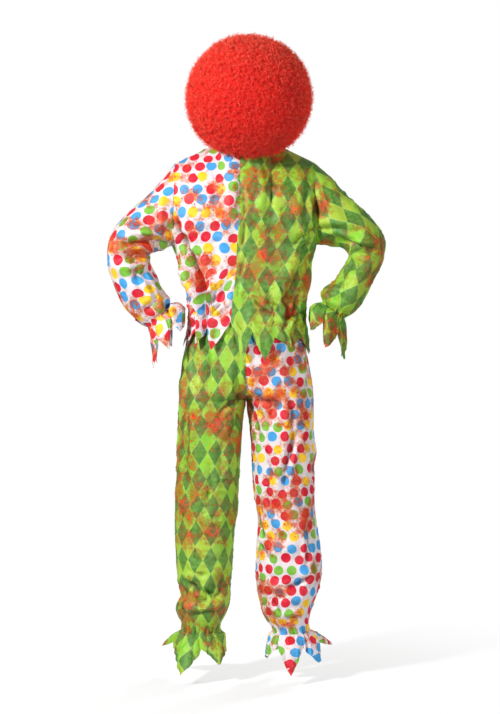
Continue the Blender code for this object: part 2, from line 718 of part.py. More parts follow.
def make_trousers(band, dots, diamonds):
    """The four halves of the legs; returns their walls as one tree, for what hangs over them."""
    hip_rows = (np.array(HIP_LINES) * MM - WAISTBAND[1]) / (HIP_END_Z - WAISTBAND[1])
    leg_heights = np.array(LEG_LINES) * MM
    grids, finishes = {}, {}
    for side, word, finish in ((1, "left", diamonds), (-1, "right", dots)):
        for face in ("back", "front"):
            name = f"trousers_{face}_{word}"
            columns = np.array(ANKLE_FRILL[face, side])[:, 0]
            grid = trouser_panel(face, side, columns, band, hip_rows, leg_heights, FRILL_ROWS)
            grids[name] = facing_out(grid, np.array(LEG_CORE) * (side, 1, 1))
            finishes[name] = finish
    return sew(creased(grids, TROUSER_FOLDS), finishes)


def joined(walls):
    """The points and faces of several walls as one mesh."""
    points, faces, offset = [], [], 0
    for wall_points, wall_faces in walls.values():
        points.append(wall_points)
        faces.append(wall_faces + offset)
        offset += len(wall_points)
    return np.concatenate(points), np.concatenate(faces)


def draped(grids, tree):
    """The top's skirt, moved out from the body's axis wherever the trousers would come through it."""
    result = {}
    for name, grid in grids.items():
        grid = grid.copy()
        for spot in np.ndindex(grid.shape[:2]):
            point = grid[spot]
            if not name.startswith("top_") or point[2] > WAISTBAND[1]:
                continue
            way = unit(point * (1, 1, 0))
            start = Vector(point * (0, 0, 1) + way * BEYOND)
            hit = tree.ray_cast(start, Vector(-way), BEYOND)[3]
            if hit is not None:
                reach = max(np.linalg.norm(point[:2]), BEYOND - hit + CLOTH + DRAPE_CLEARANCE)
                grid[spot] = way * reach + point * (0, 0, 1)
        result[name] = grid
    return result


def wig_directions(polar, azimuth):
    """Unit directions about the line from the head's middle to the middle of the face opening."""
    ahead = np.array((0, -np.cos(FACE_TILT), -np.sin(FACE_TILT)))
    up = np.array((0, -np.sin(FACE_TILT), np.cos(FACE_TILT)))
    side = np.array((1.0, 0, 0))
    polar, azimuth = polar[..., None], azimuth[..., None]
    return np.cos(polar) * ahead + np.sin(polar) * (np.cos(azimuth) * up + np.sin(azimuth) * side)


def reach_to(middle, half_size, directions):
    """Distance from the head's middle to an ellipsoid, along each direction."""
    ray = directions / half_size
    start = (HEAD_MIDDLE - middle) / half_size
    a, b, c = (ray**2).sum(-1), (ray * start).sum(-1), (start**2).sum() - 1
    return (-b + np.sqrt(b * b - a * c)) / a


def free_reach(reach, directions, tree):
    """Shortens each reach until its end is clear of the top and of the neck hole."""
    result = reach.copy()
    for spot in np.ndindex(reach.shape):
        way = Vector(directions[spot])
        if way.z > 0:
            continue
        while result[spot] > HEAD_HALF_SIZE[0]:
            end = Vector(HEAD_MIDDLE) + way * result[spot]
            hit = tree.ray_cast(Vector(HEAD_MIDDLE), way, result[spot] + WIG_CLEARANCE)[0]
            over_neck = (end.x / NECK_HOLE[0]) ** 2 + (end.y / NECK_HOLE[1]) ** 2 < 1
            near = tree.find_nearest(end, WIG_CLEARANCE)[0]
            if hit is None and near is None and not (over_neck and end.z < COLLAR_TOP_Z):
                break
            result[spot] -= REACH_STEP
    return result


def lumps(directions):
    """Soft knots all over the ball: the product of three crossed waves, as a share of their greatest height."""
    return np.sin(directions @ CURL_WAVES + CURL_SHIFTS).prod(axis=-1)


def gap_between(points, tree, other_points, other_tree):
    """The least distance between two surfaces, read at the points of both; 0 where they cut."""
    if tree.overlap(other_tree):
        return 0.0
    found = [other_tree.find_nearest(Vector(point))[3] for point in points]
    found += [tree.find_nearest(Vector(point))[3] for point in other_points]
    return min(found)


def make_wig(walls, curls, net):
    """The ball of curls and the cap inside it, let down until the ball rests on the top's collar and back."""
    top_points, top_faces = joined(walls)
    top_tree = BVHTree.FromPolygons(top_points.tolist(), top_faces.tolist())

    azimuth = np.linspace(0, 2 * np.pi, WIG_COLUMNS, endpoint=False)[None]
    edge = ((np.cos(azimuth) / FACE_HALF_HEIGHT) ** 2 + (np.sin(azimuth) / FACE_HALF_WIDTH) ** 2) ** -0.5
    down = np.linspace(0, 1, WIG_ROWS)[1:-1, None]
    fringe = edge - FRINGE_LEAN
    outer_polar = fringe + (np.pi - fringe) * down
    outer_ways = wig_directions(outer_polar, azimuth + 0 * outer_polar)
    outer_reach = reach_to(WIG_MIDDLE, WIG_HALF_SIZE, outer_ways) + CURL_LUMP * lumps(outer_ways)
    outer_reach = free_reach(outer_reach, outer_ways, top_tree)
    inner_polar = edge + (np.pi - edge) * down
    inner_ways = wig_directions(inner_polar, azimuth + 0 * inner_polar)
    inner_reach = reach_to(HEAD_MIDDLE, HEAD_HALF_SIZE, inner_ways)

    lip_share, lip_turn = np.array(LIP).T[..., None]
    lip_ways = wig_directions(edge + lip_turn, azimuth + 0 * lip_turn)
    lip_reach = inner_reach[0] + (outer_reach[0] * LIP_REACH - inner_reach[0]) * lip_share
    rows = np.concatenate(
        (
            HEAD_MIDDLE + (inner_reach[..., None] * inner_ways)[::-1],
            HEAD_MIDDLE + lip_reach[..., None] * lip_ways,
            HEAD_MIDDLE + outer_reach[..., None] * outer_ways,
        )
    )
    back = wig_directions(np.array([np.pi]), np.array([0.0]))[0]
    poles = (
        HEAD_MIDDLE + back * reach_to(HEAD_MIDDLE, HEAD_HALF_SIZE, back),
        HEAD_MIDDLE + back * reach_to(WIG_MIDDLE, WIG_HALF_SIZE, back),
    )
    hair_points, hair_faces = capped(rows, poles)

    cap_outer = inner_reach - SEAM_GAP
    skins = [HEAD_MIDDLE + ((cap_outer - wall)[..., None] * inner_ways) for wall in (0, CAP_WALL)]
    cap_rows = np.concatenate((skins[0][::-1], skins[1]))
    cap_poles = [HEAD_MIDDLE + back * (reach_to(HEAD_MIDDLE, HEAD_HALF_SIZE, back) - SEAM_GAP - wall)
                 for wall in (0, CAP_WALL)]  # fmt: skip
    cap_points, cap_faces = capped(cap_rows, cap_poles)

    low, high = -DROP_RANGE, DROP_RANGE
    near_top = top_points[top_points[:, 2] > -COLLAR_DEPTH]
    for _ in range(HALVINGS):
        drop = (low + high) / 2
        moved = hair_points - (0, 0, drop)
        tree = BVHTree.FromPolygons(moved.tolist(), [list(face) for face in hair_faces])
        if gap_between(moved, tree, near_top, top_tree) > REST_GAP:
            low = drop
        else:
            high = drop
    add_mesh("wig_curls", hair_points - (0, 0, low), hair_faces, curls)
    add_mesh("wig_cap", cap_points - (0, 0, low), cap_faces, net)


def capped(rows, poles):
    """A closed skin through rings of points, with its first and last ring drawn together to a pole."""
    count, columns = rows.shape[:2]
    points = np.concatenate((rows.reshape(-1, 3), np.array(poles)))
    faces = triangles(quads(count, columns, True), points).tolist()
    around = np.arange(columns)
    following = (around + 1) % columns
    first, last = count * columns, count * columns + 1
    faces += np.column_stack((following, around, np.full(columns, first))).tolist()
    top = (count - 1) * columns
    faces += np.column_stack((top + around, top + following, np.full(columns, last))).tolist()
    middle = points[:-2].mean(axis=0)
    corners = np.array([points[face[:3]] for face in faces]) - middle
    if np.linalg.det(corners).sum() < 0:
        faces = [face[::-1] for face in faces]
    return points, faces


def main():
    for found in list(bpy.data.objects):
        bpy.data.objects.remove(found)
    dots = material("dotted_satin", (0.82, 0.78, 0.76), 0.45)
    diamonds = material("diamond_satin", (0.30, 0.50, 0.12), 0.45)
    elastic = material("elastic", (0.75, 0.75, 0.72), 0.8)
    curls = material("red_curls", (0.78, 0.03, 0.02), 0.6)
    net = material("cap_net", (0.25, 0.02, 0.02), 0.8)
    grids, finishes = top_grids(dots, diamonds)
    band = waistband_grid(grids)
    sew({"waistband": facing_out(band, BAND_CORE)}, {"waistband": elastic}, {"waistband"})
    trouser_points, trouser_faces = joined(make_trousers(band, dots, diamonds))
    trouser_tree = BVHTree.FromPolygons(trouser_points.tolist(), trouser_faces.tolist())
    top_walls = sew(draped(grids, trouser_tree), finishes, SLEEVES)
    make_wig(top_walls, curls, net)


main()
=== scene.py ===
"""Looks of the clown costume: satin cloth in two prints, pointed frills, and a wig that is a ball of red curls.

Metres, +Z up, the back at +Y and the wearer's left at +X. The tables are in millimetres, with a row for each
section, edge point or fold. Each piece is a grid of points worked out from them, as a thin wall of cloth.
"""

import bpy
import numpy as np
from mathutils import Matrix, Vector
from mathutils.bvhtree import BVHTree


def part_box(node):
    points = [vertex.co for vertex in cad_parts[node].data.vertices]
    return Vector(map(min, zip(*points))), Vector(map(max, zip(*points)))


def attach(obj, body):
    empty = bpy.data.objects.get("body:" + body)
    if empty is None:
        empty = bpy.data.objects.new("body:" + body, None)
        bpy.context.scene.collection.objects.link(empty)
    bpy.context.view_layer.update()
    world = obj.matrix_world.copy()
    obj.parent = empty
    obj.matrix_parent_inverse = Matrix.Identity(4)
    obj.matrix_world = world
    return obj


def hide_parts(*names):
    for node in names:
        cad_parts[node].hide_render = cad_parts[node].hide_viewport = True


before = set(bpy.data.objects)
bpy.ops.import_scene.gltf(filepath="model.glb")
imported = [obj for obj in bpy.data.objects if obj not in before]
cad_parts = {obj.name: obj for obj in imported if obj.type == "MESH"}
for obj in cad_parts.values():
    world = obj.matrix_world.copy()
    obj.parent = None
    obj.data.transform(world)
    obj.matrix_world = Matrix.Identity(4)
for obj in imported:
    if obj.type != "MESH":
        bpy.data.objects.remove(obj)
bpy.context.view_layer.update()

MM = 0.001
# heights on the body, counted from the opening for the neck
UNDERARM_Z = -0.276
WAIST_Z = -0.484
CROTCH_Z = -0.720
HIP_END_Z = -0.800
ANKLE_Z = -1.390
FLOOR_Z = -1.535
# the body tube, the upper part of the top and the seat of the trousers
SQUARENESS = 2.3
ARMHOLE_EASE = 0.03
NECK_SHARE = 0.4
NECK_SHOULDER = (75, 4, 14)
SEAT_FADE = 3.0
SEAT_FILL = 0.013
SEAT_FILL_Z = -0.725
SEAT_FILL_SPREAD = 0.055
# how many points the grids have
ARMHOLE_COLUMNS = 52
TORSO_COLUMNS = 54
SKIRT_ROWS = 76
SLEEVE_ROWS_EACH = 11
LEG_COLUMNS = 64
HIP_ROWS = 68
LEG_ROWS = 128
FRILL_ROWS = np.linspace(0, 1, 25)[1:]
# frills: shares of the reach before and after the bend, then where they go over the hand and the foot
FRILL_LEAD = 0.36
FRILL_FALL = 0.66
FRILL_CUP = 0.10
TIP_CURL = 0.006
DOWN = np.array((0, 0, -1.0))
WRIST_FLARE = 0.35
WRIST_SPREAD = 0.16
HAND_WAY = np.array((-0.95, 0.28, -0.12))
HAND_FALL = np.array((0.10, 0.12, 0.0))
ANKLE_FLARE = 0.45
ANKLE_SPREAD = 0.28
FOOT_FLARE = 0.90
FOOT_WAY = np.array((0.62, -0.78, 0.0))
FOOT_NARROWING = 1.5
FOOT_SLOPE = 0.33
# pleats: how many of both sizes go round, how deep they are and how far they run from the elastic
WRIST_PLEATS = (17, 29)
ANKLE_PLEATS = (19, 33)
PLEAT_SHARES = (0.6, 0.4)
PLEAT_WANDER = (1.2, 0.9)
PLEAT_DEPTH = 0.0030
PLEAT_REACH = 0.016
FRILL_PLEAT_REACH = 0.022
FRILL_WAVE = 0.0034
FRILL_WAVE_GROWTH = 1.5
ANKLE_BAND = 0.026
# folds with lower ridges at their flanks, ruckles in patches, and how a fan's folds vary
FOLD_BOW = 0.05
FOLD_DEPTH = 1.75
FOLD_WIDTH = 1.25
FOLD_FLANK = 0.42
FOLD_FLANK_PLACE = 1.9
FOLD_FLANK_WIDTH = 0.85
FOLD_END_FADE = 0.65
FOLD_FACING = 2.5
RUCKLE_WIDTH = 0.42
RUCKLE_PATCH = 3.2
RUCKLE_PATCH_SLOPE = 0.7
RUCKLE_PATCH_SHARE = 0.35
WAVE_COUNT = 8
WAVE_LENGTHS = (0.75, 1.3)
FAN_NEAR = (0.7, 1.3)
FAN_FAR = (0.55, 1.1)
FAN_WIDTH = (0.7, 1.3)
FAN_DEPTH = (0.4, 1.2)
# the flat cut: rounds that spread the folds' length, lines and rounds of the settling, rows that lead a frill
FOLD_SPREAD = 60
FLAT_LINES = 25
FLAT_ROUNDS = 40
FLAT_SLACK = 0.35
FLAT_ANCHOR = 1e-7
FRILL_GUIDE = 6
# the cloth's thickness, its seams, its hollows, and the skirt over the trousers
CLOTH = 0.0010
SEAM_DIP = 0.0011
SEAM_DIP_REACH = 0.003
SEAM_PUCKER = 0.011
SEAM_PUCKER_WANDER = 0.07
SEAM_PUCKER_SHARE = 0.6
SEAM_PUCKER_REACH = 0.009
SHARP_ANGLE = np.radians(55)
HOLLOW_REACH = 4
HOLLOW_DEPTH = 0.0022
DRAPED_BELOW = -0.430
DRAPE_CLEARANCE = 0.0026
DRAPE_SPREAD = 3
DRAPE_SOFTENING = 9
# where search rays start, and the points that the panels look away from
BEYOND = 0.4
WAIST_LOOK = 0.0005
TOP_CORE = (0, 0, -0.3)
LEG_CORE = (0.1, 0, -0.9)
# the solids that each sleeve stands for, and the fabric of each piece
SOLIDS = {f"sleeve_{word}": (f"sleeve_upper_{word}", f"sleeve_lower_{word}") for word in ("left", "right")}
SLOTS = {
    **{f"top_{face}_left": "dotted_satin" for face in ("back", "front")},
    **{f"top_{face}_right": "diamond_satin" for face in ("back", "front")},
    **{f"trousers_{face}_left": "diamond_satin" for face in ("back", "front")},
    **{f"trousers_{face}_right": "dotted_satin" for face in ("back", "front")},
    "sleeve_left": "dotted_satin",
    "sleeve_right": "diamond_satin",
}
# the wig: the ball, the head in it, and the face opening, which looks ahead and a little down
WIG_MIDDLE = np.array((-0.009, 0.082, 0.136))
WIG_HALF_SIZE = np.array((0.181, 0.168, 0.179))
HEAD_MIDDLE = np.array((-0.004, 0.012, 0.142))
HEAD_HALF_SIZE = np.array((0.078, 0.096, 0.114))
FACE_TILT = np.radians(29)
FACE_AHEAD = np.array((0, -np.cos(FACE_TILT), -np.sin(FACE_TILT)))
FACE_UP = np.array((0, -np.sin(FACE_TILT), np.cos(FACE_TILT)))
FACE_SIDE = np.array((1.0, 0, 0))
FACE_BACK = -FACE_AHEAD
FACE_HALF_HEIGHT = np.radians(69)
FACE_HALF_WIDTH = np.radians(48)
FRINGE_LEAN = np.radians(7)
# the cap, and the base that the curls stand on
CAP_GAP = 0.0003
CAP_WALL = 0.0012
CAP_COLUMNS = 96
CAP_ROWS = 46
BASE_WALL = 0.0030
BASE_LUMP = 0.0012
BASE_LUMP_SIZE = 0.021
BALL_ROWS = 62
BALL_COLUMNS = 120
BALL_MARGIN = 0.002
UNSURE_ROWS = 2
EVENED_ROWS = 6
EVENING_ROUNDS = 4
# the ball's rounded front lip: share of the way from cap to curls, and turn from the edge of the face opening
LIP = ((0.22, -0.05), (0.60, 0.0), (0.90, 0.05))
LIP_REACH = 0.97
LIP_SHARE = (0.1, 1.0)
LIP_LOOK = 0.01
# the curls: how many, how they are rooted, and the ranges that each one's own measures come from
CURL_COUNT = 11000
LIP_CURLS = 1100
CURL_PIECES = 4
CURL_RINGS = 8
CURL_SIDES = 3
CURL_DEPTH = 0.0135
CURL_SINK = 0.0015
GOLDEN_TURN = np.pi * (1 + 5**0.5)
ROOT_STRAY = 0.0016
ROOT_LEAN = 1.05
LEAST_ROOM = 0.0085
LEAST_RISE = 0.75
CURL_LEAN = 0.60
CURL_WIND = (1.2, 1.9)
CURL_RADIUS = (0.0027, 0.0048)
CURL_THICKNESS = (0.00055, 0.00095)
CURL_FILL = (0.62, 1.0)
STRAY_SHARE = 0.30
STRAY_REACH = (0.0005, 0.0045)
CURL_FACING = 0.32
CURL_TONE = (0.5, 0.22)
# painted light: how much lighter a lock is made the further up it points
CURL_PAINTED_TOP_LIGHT = 0.32
# the prints: the size of a repeat, and the dots' lattice
TOP_DOT = 0.0400
LEG_DOT = 0.0364
TOP_DIAMOND = (0.053, 0.086)
LEG_DIAMOND = (0.046, 0.077)
DIAMOND_WOBBLE = 0.06
DOT_ROW = 0.866
DOT_LOOSENESS = 0.34
DOT_RADIUS = 0.366
DOT_RADIUS_SPREAD = 0.040
DOT_EDGE = (0.012, -0.012)
DOT_GROUND = "DFD4D7"
LIGHT_DIAMOND = ("82C632", "A5C33C", "B9B530")
DARK_DIAMOND = ("407E28", "6E983A")
DIAMOND_OUTLINE = "C3DD86"
# share of the dots at which each colour starts; the curls' colours from root to tip, partly painted rim light at
# the tips, and those of their base
DOT_COLORS = ((0.0, "D61232"), (0.35, "3C9DDC"), (0.57, "78B83A"), (0.79, "F6C626"))
CURL_COLORS = ((0.0, "D01012"), (0.3, "F01616"), (0.60, "FF2A20"), (0.82, "FF6248"), (1.0, "FF9C7C"))
CURL_BASE_COLORS = ("D81012", "FF2218")
CURL_SHEEN = (1.0, 0.40, 0.24)
# scale and detail of the splatter's noises (broad, blotch, middle, fine), and how they add up
SPLATTER_SHIFT = (0.9, 3.1, 4.7)
SPLATTER_STRETCH = (1.0, 0.35, 1.1)
SPLATTER_NOISES = ((8.5, 1.0), (19.0, 2.0), (72.0, 2.0), (190.0, 3.0))
CLOUD_BROAD = 0.55
CLOUD_MIDDLE = 0.16
GLAZE = (0.80, 0.37, 0.21)
HAZE_GRAIN = (0.22, 0.32)
HAZE_EDGE = (-0.06, 0.17)
HAZE_TINT = 0.28
HAZE_COLOR = "B4502A"
DOT_HAZE = 1.0
DIAMOND_HAZE = 0.84
PAINT_GRAIN = (0.5, 0.8)
MORE_PAINT_ON_DOTS = 0.035
MORE_PAINT_ON_DIAMONDS = -0.012
# where a layer of paint starts and is full, its share and its colour: spots, then their darker cores
PAINT_LAYERS = (((0.14, 0.29), 0.70, "E04C1C"), ((0.28, 0.42), 0.78, "D0241A"))
# specks of paint: their cells, size and edge, and where they are
SPECK_SCALE = 110.0
SPECK_SIZE = 0.34
SPECK_EDGE = (0.03, -0.05)
SPECK_LUCK = 0.20
SPECK_WHERE = (0.10, 0.18)
SPECK_SHARE = 0.8
SPECK_COLOR = "B22018"
# the satin's wrong side, weave, wrinkles, handled patches and shaded hollows
WRONG_SIDE_PALENESS = 0.55
WRONG_SIDE_COLOR = "E9E3DD"
WEAVE_SCALE = 330.0
WEAVE_HEIGHT = 0.025
WRINKLE_NOISE = (46.0, 4.0, 0.55)
WRINKLE_DEPTH = 0.0030
HANDLED_NOISE = (34.0, 4.0, 0.55)
HANDLED_SHARE = 0.10
HANDLED_COLOR = "8A8480"
SATIN_ROUGHNESS = 0.40
ROUGHER_WHERE_HANDLED = 0.16
HOLLOW_EDGE = (0.05, 0.9)
HOLLOW_SHADE = (0.50, 0.44, 0.44)
# the waist elastic's ribs and threads, with painted shade in the grooves, and the cap's net, each with its low and
# high colour
RIBS_ROUND = 260.0
THREADS_UP = 5200.0
ELASTIC_COLORS = ("B9B4AC", "E8E4DC")
ELASTIC_DUST = "9C968E"
NET_SCALE = 150.0
NET_COLORS = ("3A0608", "7E1214")
# the studio
WHITE = (1.0, 1.0, 1.0)
WORLD_GLOW = 0.20
FLOOR_GLOW = 1.0
FLOOR_PALENESS = 0.6
FLOOR_HALF_SIZE = 30.0
FLOOR_COLORS = ("FBFBFB", "F1F1F2")
FLOOR_FADE = (1.0, 2.0)
CAMERA_PLACE = (-0.0115, 5.0, -0.40)
CAMERA_AIM = (-0.0115, 0.0, -0.600)
CAMERA_LENS = 87.8
# name, place, aim, size, power, whether it shows in the gloss
LIGHTS = (
    ("key", (2.7, 2.5, 1.2), (0, 0, -0.6), 0.5, 195, True),
    ("fill", (-2.0, 3.4, -1.2), (0, 0, -0.2), 1.4, 98, True),
    ("front_key", (-2.5, -3.0, 0.9), (0, 0, -0.6), 0.9, 120, False),
    ("front_fill", (2.5, -3.0, -0.2), (0, 0, -0.6), 1.4, 60, False),
)

# narrow folds: side (1 back, -1 front), start x, start height, end x, end height, half width, depth outwards
TOP_CREASES = (
    (1, 196, -205, 185, -257, 6, -7), (1, 187, -250, 158, -311, 7, -9), (1, 160, -305, 140, -364, 7, -10),
    (1, 142, -358, 103, -482, 7, -11), (1, 176, -330, 122, -440, 9, 5), (1, 130, -330, 96, -420, 10, 4),
    (1, 112, -480, 112, -560, 5, -8), (1, 160, -428, 141, -462, 5, -6), (1, 150, -436, 126, -480, 4, -5),
    (1, -84, -474, -126, -426, 6, 5), (1, -92, -486, -150, -430, 6, -5), (1, -100, -490, -158, -470, 5, -4),
    (1, -96, -496, -128, -548, 6, -4), (1, 8, -130, 20, -320, 5, -3), (1, -2, -300, 22, -420, 5, -3),
    (1, 44, -120, 62, -300, 12, 3), (1, -52, -110, -60, -330, 12, 3), (1, -190, -150, -196, -196, 6, -6),
    (1, -184, -110, -190, -240, 7, 4), (1, 60, -180, 150, -140, 12, 2.5), (1, -40, -230, -150, -180, 12, 2.5),
)  # fmt: skip
SLEEVE_CREASES = (
    (1, 216, -274, 337, -272, 6, -7), (1, 210, -258, 300, -252, 7, 4), (1, 276, -330, 214, -515, 7, -5),
    (1, 300, -350, 262, -440, 6, 4), (1, -190, -236, -318, -242, 7, -5), (1, -268, -276, -369, -290, 6, -8),
    (1, -272, -292, -292, -300, 7, 6), (1, -210, -408, -268, -446, 8, 5), (1, -290, -322, -262, -390, 6, -5),
)  # fmt: skip
TROUSER_CREASES = (
    (1, 172, -575, 167, -790, 6, -6), (1, 167, -780, 178, -910, 6, -6), (1, 156, -560, 150, -700, 6, 3),
    (1, 114, -565, 112, -680, 7, -5), (1, 22, -615, 10, -760, 7, -5), (1, 100, -900, 120, -1040, 8, -4),
    (1, 60, -820, 70, -960, 9, -3), (1, -172, -575, -178, -690, 6, -6), (1, -143, -812, -106, -975, 7, -6),
    (1, -120, -700, -132, -790, 7, -4), (1, -70, -900, -62, -1050, 9, -3), (1, -172, -1080, -170, -1200, 6, -5),
    (1, -36, -1050, -50, -1110, 5, -5), (1, -36, -1130, -66, -1170, 5, -4), (1, 172, -1237, 141, -1257, 6, -7),
    (1, 141, -1257, 89, -1277, 6, -7), (1, 165, -1215, 110, -1232, 7, 4), (1, 60, -1240, 96, -1300, 6, -5),
    (1, 198, -1308, 175, -1326, 6, -5), (1, 150, -1330, 90, -1322, 6, -4), (1, -178, -1222, -149, -1245, 6, -6),
    (1, -150, -1245, -110, -1250, 6, -4), (1, -186, -1320, -192, -1308, 6, -4),
    (1, -70, -1290, -100, -1330, 6, -4), (1, -112, -1340, -150, -1336, 6, -5), (1, 60, -1180, 110, -1215, 8, 3),
    (1, -60, -1190, -110, -1225, 8, 3),
)  # fmt: skip
# folds that fan out: side, place x, height, nearest and farthest reach, first and last angle, how many, half width,
# depth outwards
TOP_FANS = (
    (1, 112, -492, 12, 90, 35, 150, 7, 5, -5), (1, -100, -490, 12, 95, 30, 145, 7, 5, -5),
    (-1, 118, -470, 12, 80, 40, 150, 5, 6, -4), (-1, -118, -470, 12, 80, 30, 140, 5, 6, -4),
    (1, 196, -240, 8, 90, 205, 260, 4, 6, -4), (1, -192, -236, 8, 80, 285, 335, 4, 6, -4),
)  # fmt: skip
TROUSER_FANS = (
    (1, 10, -700, 16, 130, 205, 335, 7, 7, -4),
    (-1, 10, -700, 16, 130, 205, 335, 7, 7, -4),
)
# ruckles, in metres: length of a wave, its stretch along x, y and z, depth, seed
TOP_RUCKLES = (
    (0.110, (1, 1, 2.2), 0.0056, 21),
    (0.062, (1.5, 1, 1), 0.0036, 23),
    (0.034, (1, 1, 1), 0.0017, 25),
)
TROUSER_RUCKLES = (
    (0.120, (1, 1, 2.6), 0.0056, 31),
    (0.066, (1.4, 1, 1), 0.0034, 33),
    (0.036, (1, 1, 1), 0.0016, 35),
)

# height, left edge, right edge, back, front, back seam
TORSO = (
    (-276, 207, -201, 118, -128, 25), (-321, 192, -190, 116, -124, 26), (-365, 179, -184, 113, -120, 28),
    (-408, 169, -177, 112, -116, 34), (-436, 163, -172, 111, -114, 38), (-470, 161, -170, 112, -113, 41),
    (-494, 162, -170, 114, -114, 43), (-530, 170, -176, 121, -119, 43), (-570, 183, -182, 129, -125, 43),
    (-610, 191, -189, 133, -129, 43),
)  # fmt: skip
# x, y, height down the middle of the back and of the front, from the underarm line to the neck
BACK_MIDDLE = (
    (25, 118, -276), (19, 125, -200), (17, 122, -130), (17, 108, -72), (16, 86, -28), (15, 63, 2),
)  # fmt: skip
FRONT_MIDDLE = (
    (0, -128, -276), (0, -134, -215), (0, -128, -155), (0, -108, -100), (0, -82, -56),
)  # fmt: skip
# fraction from the middle seam to the side seam, height of the hem there
HEM = {
    ("back", 1): (
        (0, -497), (0.15, -535), (0.3, -577), (0.38, -510), (0.52, -571),
        (0.62, -522), (0.74, -574), (0.84, -522), (0.93, -560), (1, -524),
    ),
    ("back", -1): (
        (0, -497), (0.125, -602), (0.25, -531), (0.375, -607), (0.5, -540),
        (0.64, -571), (0.76, -543), (0.88, -588), (1, -548),
    ),
    ("front", 1): (
        (0, -545), (0.15, -608), (0.3, -541), (0.38, -566), (0.52, -604),
        (0.62, -532), (0.74, -592), (0.84, -528), (0.93, -570), (1, -524),
    ),
    ("front", -1): (
        (0, -545), (0.125, -600), (0.25, -541), (0.375, -606), (0.5, -538),
        (0.64, -596), (0.76, -541), (0.88, -594), (1, -548),
    ),
}  # fmt: skip
# outer edge x, outer edge height, inner edge x, inner edge height, y, half depth
SLEEVE = {
    1: (
        (202, -47, 207, -276, 0, 78), (247, -103, 221, -280, 8, 77), (290, -146, 238, -288, 14, 74),
        (336, -187, 258, -296, 21, 71), (375, -232, 270, -302, 28, 69), (393, -281, 275, -312, 33, 67),
        (392, -339, 273, -326, 36, 66), (373, -399, 261, -364, 38, 64), (350, -445, 238, -405, 39, 62),
        (319, -485, 218, -433, 40, 58), (273, -512, 218, -449, 41, 36),
    ),
    -1: (
        (192, -42, 201, -276, 0, 78), (235, -80, 221, -278, 8, 77), (281, -135, 247, -280, 14, 74),
        (327, -178, 273, -282, 21, 71), (364, -212, 290, -292, 28, 69), (390, -258, 296, -306, 33, 67),
        (387, -324, 290, -326, 36, 66), (362, -382, 266, -364, 38, 64), (336, -433, 247, -393, 39, 62),
        (312, -468, 218, -413, 40, 58), (280, -488, 224, -449, 41, 36),
    ),
}  # fmt: skip
# fraction round the wrist from the underarm seam, reach of the frill below its elastic
WRIST_FRILL = (
    (0, 46), (0.083, 112), (0.167, 44), (0.25, 120), (0.333, 44), (0.417, 122),
    (0.5, 42), (0.583, 118), (0.667, 44), (0.75, 112), (0.833, 44), (0.917, 106),
)  # fmt: skip
# height, inner edge, outer edge, back, front
LEG = {
    1: (
        (-800, 10, 196, 104, -104), (-870, 14, 198, 98, -98), (-980, 23, 201, 92, -90),
        (-1090, 32, 204, 88, -84), (-1160, 38, 203, 88, -82), (-1215, 42, 200, 87, -80),
        (-1260, 46, 192, 84, -77), (-1290, 45, 188, 81, -75), (-1317, 49, 200, 79, -76),
        (-1345, 60, 193, 70, -68), (-1372, 74, 184, 58, -58), (-1390, 78, 184, 53, -53),
    ),
    -1: (
        (-800, 12, 195, 104, -104), (-870, 15, 194, 98, -98), (-947, 20, 192, 94, -92),
        (-1019, 29, 195, 90, -87), (-1076, 34, 199, 89, -85), (-1139, 30, 212, 90, -85),
        (-1202, 29, 218, 90, -84), (-1260, 32, 212, 87, -80), (-1317, 44, 193, 80, -75),
        (-1352, 57, 183, 68, -66), (-1376, 74, 182, 57, -57), (-1390, 78, 184, 53, -53),
    ),
}  # fmt: skip
# height, outer edge: the side seam between the waistband and the thigh
HIP_SIDE = {
    1: ((-484, 158), (-530, 163), (-574, 175), (-610, 183), (-657, 189), (-720, 193), (-800, 196)),
    -1: ((-484, 166), (-530, 167), (-574, 172), (-610, 180), (-657, 189), (-720, 195), (-800, 195)),
}
# height, back, front: the middle seams between the waistband and the crotch
HIP_MIDDLE = (
    (-484, 109, -109), (-530, 109, -108), (-580, 108, -106), (-630, 101, -98), (-675, 80, -76), (-705, 42, -40),
    (-720, 0, 0),
)  # fmt: skip
# fraction from the inseam to the side seam, reach of the frill below its elastic
ANKLE_FRILL = {
    ("back", 1): (
        (0, 44), (0.13, 66), (0.27, 92), (0.38, 62), (0.48, 42),
        (0.58, 80), (0.69, 119), (0.84, 72), (1, 46),
    ),
    ("front", 1): (
        (0, 44), (0.11, 72), (0.2, 95), (0.34, 44), (0.42, 80),
        (0.5, 112), (0.59, 76), (0.67, 44), (0.77, 88), (0.86, 126), (1, 46),
    ),
    ("back", -1): (
        (0, 46), (0.15, 72), (0.31, 42), (0.4, 80), (0.49, 119),
        (0.58, 76), (0.66, 42), (0.75, 66), (0.84, 92), (1, 48),
    ),
    ("front", -1): (
        (0, 46), (0.11, 74), (0.2, 98), (0.34, 44), (0.42, 78),
        (0.5, 114), (0.59, 76), (0.67, 44), (0.77, 84), (0.86, 118), (1, 48),
    ),
}  # fmt: skip
# broad folds, in the columns of the narrow ones
TOP_FOLDS = (
    (1, 190, -230, 150, -330, 13, -7), (1, 150, -320, 112, -480, 13, -9), (1, 172, -300, 135, -440, 11, 6),
    (1, 117, -494, 100, -494, 24, -9), (1, 60, -330, 105, -470, 14, 4), (1, 88, -470, 60, -400, 12, -5),
    (1, -183, -90, -184, -250, 12, -7), (1, -168, -110, -166, -250, 12, 4), (1, -172, -330, -98, -486, 14, -8),
    (1, -150, -300, -80, -440, 15, 5), (1, -92, -488, -110, -488, 24, -9), (1, -60, -420, -96, -480, 13, -5),
    (-1, 176, -250, 90, -420, 15, -6), (-1, 150, -300, 60, -400, 14, 5), (-1, 120, -455, 40, -440, 15, -6),
    (-1, -176, -250, -100, -430, 15, -6), (-1, -145, -310, -50, -420, 14, 4),
    (-1, -120, -460, -50, -450, 15, -6), (-1, 60, -150, 150, -230, 18, 4), (-1, -70, -150, -150, -240, 18, 4),
)  # fmt: skip
